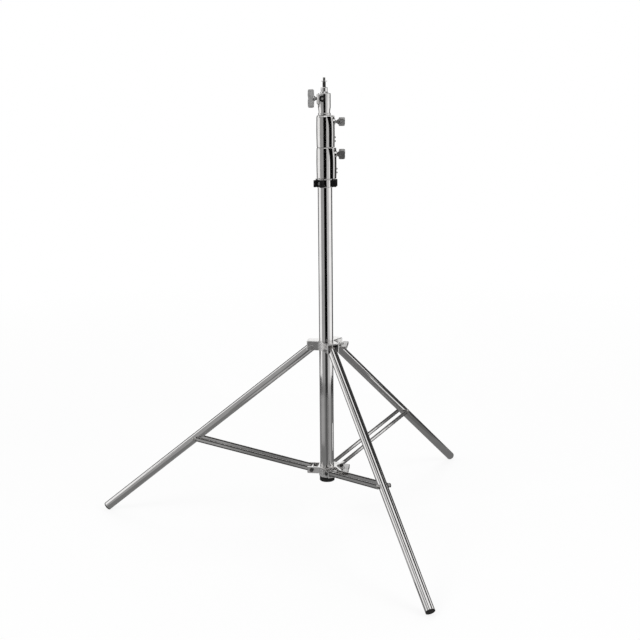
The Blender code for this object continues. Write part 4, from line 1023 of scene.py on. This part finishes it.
def buildFixings(s):
    pin, pinHead, reach, bolt, cheek, nutHeight, face, inner = pick(
        s, "pin pinHead pinReach bolt cheek nutHeight barFace shankEnd")
    end, core, nutEnd, lap = reach + s["pinHeadHeight"], bolt - s["threadDepth"], cheek + nutHeight, 0.0002
    for arm in gear["arms"]:
        mesh = lathe([(pinHead - 0.0003, -end, 0.0003), (pinHead, -reach, 0.0001), (pin, -reach, 0),
                      (pin, reach, 0), (pinHead, reach, 0.0001), (pinHead - 0.0003, end, 0.0003)],
                     36, 3, across(legOut), 50)
        finishPiece("legPin_" + arm, "leg_pin_" + arm, "leg_collar", [(mesh, pressedChrome)],
                    armPlace(arm, z=legPivot.z))

        axis = across(strutOut)
        low, high = nutEnd - 0.002, nutEnd + s["stub"]
        meshes = [boltHeadMesh(s, -cheek, axis), nutMesh(s, cheek, nutEnd, axis),
                  shankMesh(bolt, -cheek - lap, cheek + lap, axis), shankMesh(core, low, high, axis),
                  threadMesh(core, s["pitch"], high - low - 0.0006, s["threadDepth"], darkSteelAndShade,
                             axis @ move(z=low + 0.0003))]
        finishPiece("strutPivotBolt_" + arm, "strut_pivot_bolt_" + arm, "column",
                    [(mesh, darkSteelAndShade) for mesh in meshes], armPlace(arm, z=strutPivot.z))

        turn = across(gear["strutLength"])
        flip = turn @ turnOn("X", pi)
        headTurn, nutTurn = (flip, turn) if arm == "left" else (turn, flip)
        meshes = [boltHeadMesh(s, -face, headTurn), shankMesh(bolt, -face - lap, -inner, headTurn)]
        finishPiece("strutBoltHead_" + arm, "strut_bolt_head_" + arm, "strut_" + arm,
                    [(mesh, screwSteel) for mesh in meshes], strutPlace(arm))
        meshes = [nutMesh(s, -face - nutHeight, -face, nutTurn),
                  shankMesh(bolt, -face - nutHeight + 0.0004, -inner, nutTurn)]
        finishPiece("strutBoltNut_" + arm, "strut_bolt_nut_" + arm, "strut_" + arm,
                    [(mesh, darkSteelAndShade) for mesh in meshes], strutPlace(arm))


buildFixings(fixingSet)
print("fixings made")

# legs and struts

legSet = {
    "radius": 0.0110, "wall": 0.0011, "overhang": 0.006, "length": 0.7078, "edge": 0.0003, "sides": 64,
    "footFlange": 0.0026, "footEdge": 0.0006, "footInsert": 0.016, "gap": 0.0003, "pinHole": 0.0056,
    "boltHole": 0.0051, "treads": (0.30, 0.58),
}


def buildLegs(s):
    r, wall, gap, length = pick(s, "radius wall gap length")
    end, insert = -length, r - wall - gap
    flange = end + s["footFlange"]
    top = flange + s["footInsert"]
    for arm in gear["arms"]:
        tube = carve(tubeMesh(r, wall, flange + gap, s["overhang"], s["edge"], s["sides"]), [], [
            cylinderTool(s["pinHole"], -through, through, across()),
            cylinderTool(s["boltHole"], -through, through, move(z=-gear["legToStrut"]) @ across())])
        finishPiece("legTube_" + arm, "leg_" + arm, "leg_" + arm, [(tube, chrome)], legPlace(arm))
        line = soleRings(end, [r * share for share in s["treads"]], 0.0003, 0.0014, 0.0001)
        line += [(r, end, s["footEdge"]), (r, flange, 0.0004), (insert, flange, 0), (insert, top, 0.0006)]
        finishPiece("footPlug_" + arm, "foot_plug_" + arm, "leg_" + arm, [(lathe(line), rubber)],
                    legPlace(arm))


# band sets where each face's flat ring starts and how wide the painted dark reflection along its rim is
strutSet = {"half": 0.0059, "inner": 0.01175, "thick": 0.0025, "edge": 0.0011, "hole": 0.0033,
            "band": 0.0034, "edgeShare": 0.5}


def barOutline(s, inset):
    r = s["half"] - inset
    points = []
    for centre, start in ((0.0, pi / 2), (gear["strutLength"], -pi / 2)):
        points += [(centre + r * cos(a), r * sin(a)) for a in [start + pi * k / 12 for k in range(13)]]
    return points


def barLevels(s):
    # inset and height of each outline, from one face of the bar to the other
    band, thick = pick(s, "band thick")
    side = rolled(s["edge"], 3)
    return [(band, 0)] + side + [(inset, thick - z) for inset, z in reversed(side)] + [(band, thick)]


def buildStruts(s):
    length = gear["strutLength"]
    for arm in gear["arms"]:
        for side, low in (("right", -s["inner"] - s["thick"]), ("left", s["inner"])):
            bar = ringMesh([[(x, low + z, y) for x, y in barOutline(s, inset)]
                            for inset, z in barLevels(s)], sharp=50)
            bar = carve(bar, [], [cylinderTool(s["hole"], -through, through, across(x)) for x in (0.0, length)])
            for face in bar.polygons:  # the dark steel is painted in a band along the rims of both faces: the painted dark reflection of their rolled edges
                x, _, z = face.center
                rim = Vector((min(max(x, 0), length) - x, z)).length > s["half"] - s["band"]
                face.material_index = int(rim and abs(face.normal.y) > s["edgeShare"])
            finishPiece("strutBar_" + arm + "_" + side, "strut_" + arm + "_" + side, "strut_" + arm,
                        [(bar, barSteel, darkSteelAndShade)], strutPlace(arm))


spacerSet = {"radius": 0.0056, "bore": 0.0033, "half": 0.01145, "edge": 0.0004}


def buildSpacers(s):
    bore, r, half, edge = pick(s, "bore radius half edge")
    for arm in gear["arms"]:
        tube = lathe([(bore, -half, edge), (r, -half, edge), (r, half, edge), (bore, half, edge)], 40, 3,
                     across(strutOut), closed=True)
        finishPiece("strutSpacer_" + arm, "strut_spacer_" + arm, "column",
                    [(tube, pressedChrome)], armPlace(arm, z=strutPivot.z))


buildLegs(legSet)
buildStruts(strutSet)
buildSpacers(spacerSet)
print("legs and struts made")

# inner pieces keep the frame's own shapes

innerFinish = {
    nylon: ["lower_liner", "upper_liner", "middle_guide", "top_guide"] + ["pivot_bush_" + a for a in gear["arms"]],
    brass: ["lower_brake_shoe", "upper_brake_shoe"],
    bushSteel: ["leg_bush_" + a for a in gear["arms"]],
}
for material, names in innerFinish.items():
    for name in names:
        item = frame["nodes"][name]
        item.data.materials.clear()
        item.data.materials.append(material)
print("inner pieces painted")

# floor, light and flags

foot, side, edge, rim, wall = 0.42, 0.62, 1.15, 1.38, 3.4  # distances of the flags from the mast
stageSet = {
    "floorSize": 14.0, "floorColour": 0.88, "floorRough": 0.8, "floorShare": 0.15, "floorFade": (1.2, 3.2),
    "worldLight": 0.55, "aim": (0, 0, 0.5), "lift": 0.0004,
    "lamps": [  # place, size, watts
        ((-2.6, -2.2, 3.4), 2.2, 75), ((2.8, -1.4, 3.0), 2.0, 50), ((0.4, 2.8, 3.2), 2.2, 42),
    ],
    # studio flags, glowing cards only metal sees as painted reflections of the surroundings: name, first and last
    # azimuth in degrees from the camera's side, their line from the ground up as (distance, height), and how grey
    # they glow
    "flags": [
        ("Camera", -18, 26, [(1.9, 0), (wall, 0), (wall, 2.6)], 0.002),
        ("CameraFoot", -18, 26, [(edge, 0), (1.9, 0)], 0.030),
        ("Left", -70, -18, [(1.30, 0), (wall, 0), (wall, 3.0)], 0.35),
        ("Right", 26, 60, [(1.30, 0), (wall, 0), (wall, 3.0)], 0.56),
        ("UpperLeft", -88, -70, [(wall, 1.4), (wall, 3.4)], 0.30),
        ("BackLeft", -162, -120, [(edge, 0), (wall, 0), (wall, 3.0)], 0.11),
        ("BackRight", 113, 165, [(edge, 0), (wall, 0), (wall, 3.0), (1.2, 5.0)], 0.05),
        ("TopRight", 60, 113, [(3.0, 2.6), (0.8, 4.4)], 0.03),
        ("TopLeft", -95, -8, [(2.5, 3.2), (0.8, 3.2)], 0.09),
        ("RimLeft", -120, -75, [(edge, 0), (rim, 0)], 0.12),
        ("RimMiddleLeft", -75, -18, [(edge, 0), (1.30, 0)], 0.21),
        ("RimMiddleRight", 26, 75, [(edge, 0), (1.30, 0)], 0.42),
        ("RimRight", 75, 113, [(edge, 0), (rim, 0)], 0.04),
    ],
    # cards on the ground, glowing cards only metal sees as painted reflections of the floor and its shade: name,
    # azimuths, inner and outer distance, grey
    "ground": [
        ("Foot", -35, 35, 0, foot, 0.42), ("Front", -12, 12, foot, edge, 0.10),
        ("NearLeft", -35, -12, foot, edge, 0.19), ("NearRight", 12, 35, foot, edge, 0.25),
        ("FarLeft", -75, -35, side, edge, 0.36), ("LegLeft", -100, -35, 0, side, 0.20),
        ("FarRight", 35, 75, 0, edge, 0.34), ("Right", 75, 104, 0, edge, 0.17),
        ("Side", 104, 118, 0, 0.56, 0.17), ("SideRim", 104, 118, 0.82, edge, 0.12),
        ("Behind", 118, 130, 0, edge, 0.14), ("Back", 130, 230, 0, edge, 0.19),
        ("Left", 230, 260, 0, edge, 0.24), ("SideLeft", 260, 285, side, edge, 0.38),
    ],
}


def whiteForSight(tree, low):
    # 1 for what the camera, metal and glass see, low for the rest
    path = addNode(tree, "LightPath").outputs
    seen = plus(path["Is Camera Ray"], path["Is Glossy Ray"], True)
    seen = plus(seen, path["Is Transmission Ray"], True)
    return seen, plus(times(seen, 1 - low), low)


def floorMaterial(s):
    # the shadowed ground fades into the white further out
    material = bpy.data.materials.new("floorWhite")
    material.use_nodes = True
    tree = material.node_tree
    shader = tree.nodes["Principled BSDF"]
    shader.inputs["Base Color"].default_value = (s["floorColour"],) * 3 + (1,)
    shader.inputs["Roughness"].default_value = s["floorRough"]
    seen = whiteForSight(tree, 0)[0]
    place = addNode(tree, "TexCoord").outputs["Object"]
    away = addNode(tree, "VectorMath", {0: place}, operation="LENGTH").outputs["Value"]
    first, last = s["floorFade"]
    fade = times(minus(away, first), 1 / (last - first), True)
    white = plus(times(fade, s["floorShare"]), 1 - s["floorShare"])
    glow = nodeOut(tree, "Emission")
    mix = nodeOut(tree, "MixShader", {0: times(seen, white), 1: shader.outputs[0], 2: glow})
    link(mix, tree.nodes["Material Output"].inputs["Surface"])
    return material


def sweepBand(line, first, last):
    # a band round the stand; azimuths count from the camera's side towards the right
    bm = bmesh.new()
    steps = max(4, int((last - first) / 5))
    rows = []
    for k in range(steps + 1):
        a = radians(first + (last - first) * k / steps)
        rows.append([bm.verts.new((r * sin(a), -r * cos(a), z)) for r, z in line])
    for a, b in zip(rows, rows[1:]):
        for i in range(len(line) - 1):
            bm.faces.new((a[i], b[i], b[i + 1], a[i + 1]))
    bmesh.ops.remove_doubles(bm, verts=bm.verts[:], dist=weld)
    return bm


def showGlossOnly(name, bm, grey):
    # a studio flag: a glowing card that metal sees and nothing else does, a painted reflection
    material = bpy.data.materials.new(name)
    material.use_nodes = True
    tree = material.node_tree
    tree.nodes.clear()
    glow = nodeOut(tree, "Emission", {"Color": (grey, grey, grey, 1)})
    addNode(tree, "OutputMaterial", {"Surface": glow})
    mesh = bpy.data.meshes.new(name)
    bm.to_mesh(mesh)
    bm.free()
    mesh.materials.append(material)
    flag = newObject(name, mesh)
    flag.visible_camera = flag.visible_diffuse = flag.visible_shadow = flag.visible_transmission = False


def buildStage(s):
    half = s["floorSize"] / 2
    mesh = bpy.data.meshes.new("floor")
    mesh.from_pydata([(-half, -half, 0), (half, -half, 0), (half, half, 0), (-half, half, 0)], [], [(0, 1, 2, 3)])
    mesh.materials.append(floorMaterial(s))
    floor = newObject("floor", mesh)

    world = bpy.data.worlds.new("studio")
    bpy.context.scene.world = world
    world.use_nodes = True
    background = world.node_tree.nodes["Background"].inputs
    background["Color"].default_value = (1, 1, 1, 1)
    link(whiteForSight(world.node_tree, s["worldLight"])[1], background["Strength"])

    for k, (place, size, watts) in enumerate(s["lamps"]):
        data = bpy.data.lights.new("lamp" + str(k), "AREA")
        data.energy, data.size = watts, size
        lamp = newObject("lamp" + str(k), data)
        lamp.location = place
        lamp.rotation_euler = (Vector(s["aim"]) - Vector(place)).to_track_quat("-Z", "Y").to_euler()
        lamp.visible_glossy = False

    ground = [("Ground" + name, first, last, [(near, 0), (far, 0)], grey)
              for name, first, last, near, far, grey in s["ground"]]
    for name, first, last, line, grey in s["flags"] + ground:
        showGlossOnly("flag" + name, sweepBand([(r, z + s["lift"]) for r, z in line], first, last), grey)


buildStage(stageSet)
bpy.context.scene.view_settings.view_transform = "Standard"
print("stage made")
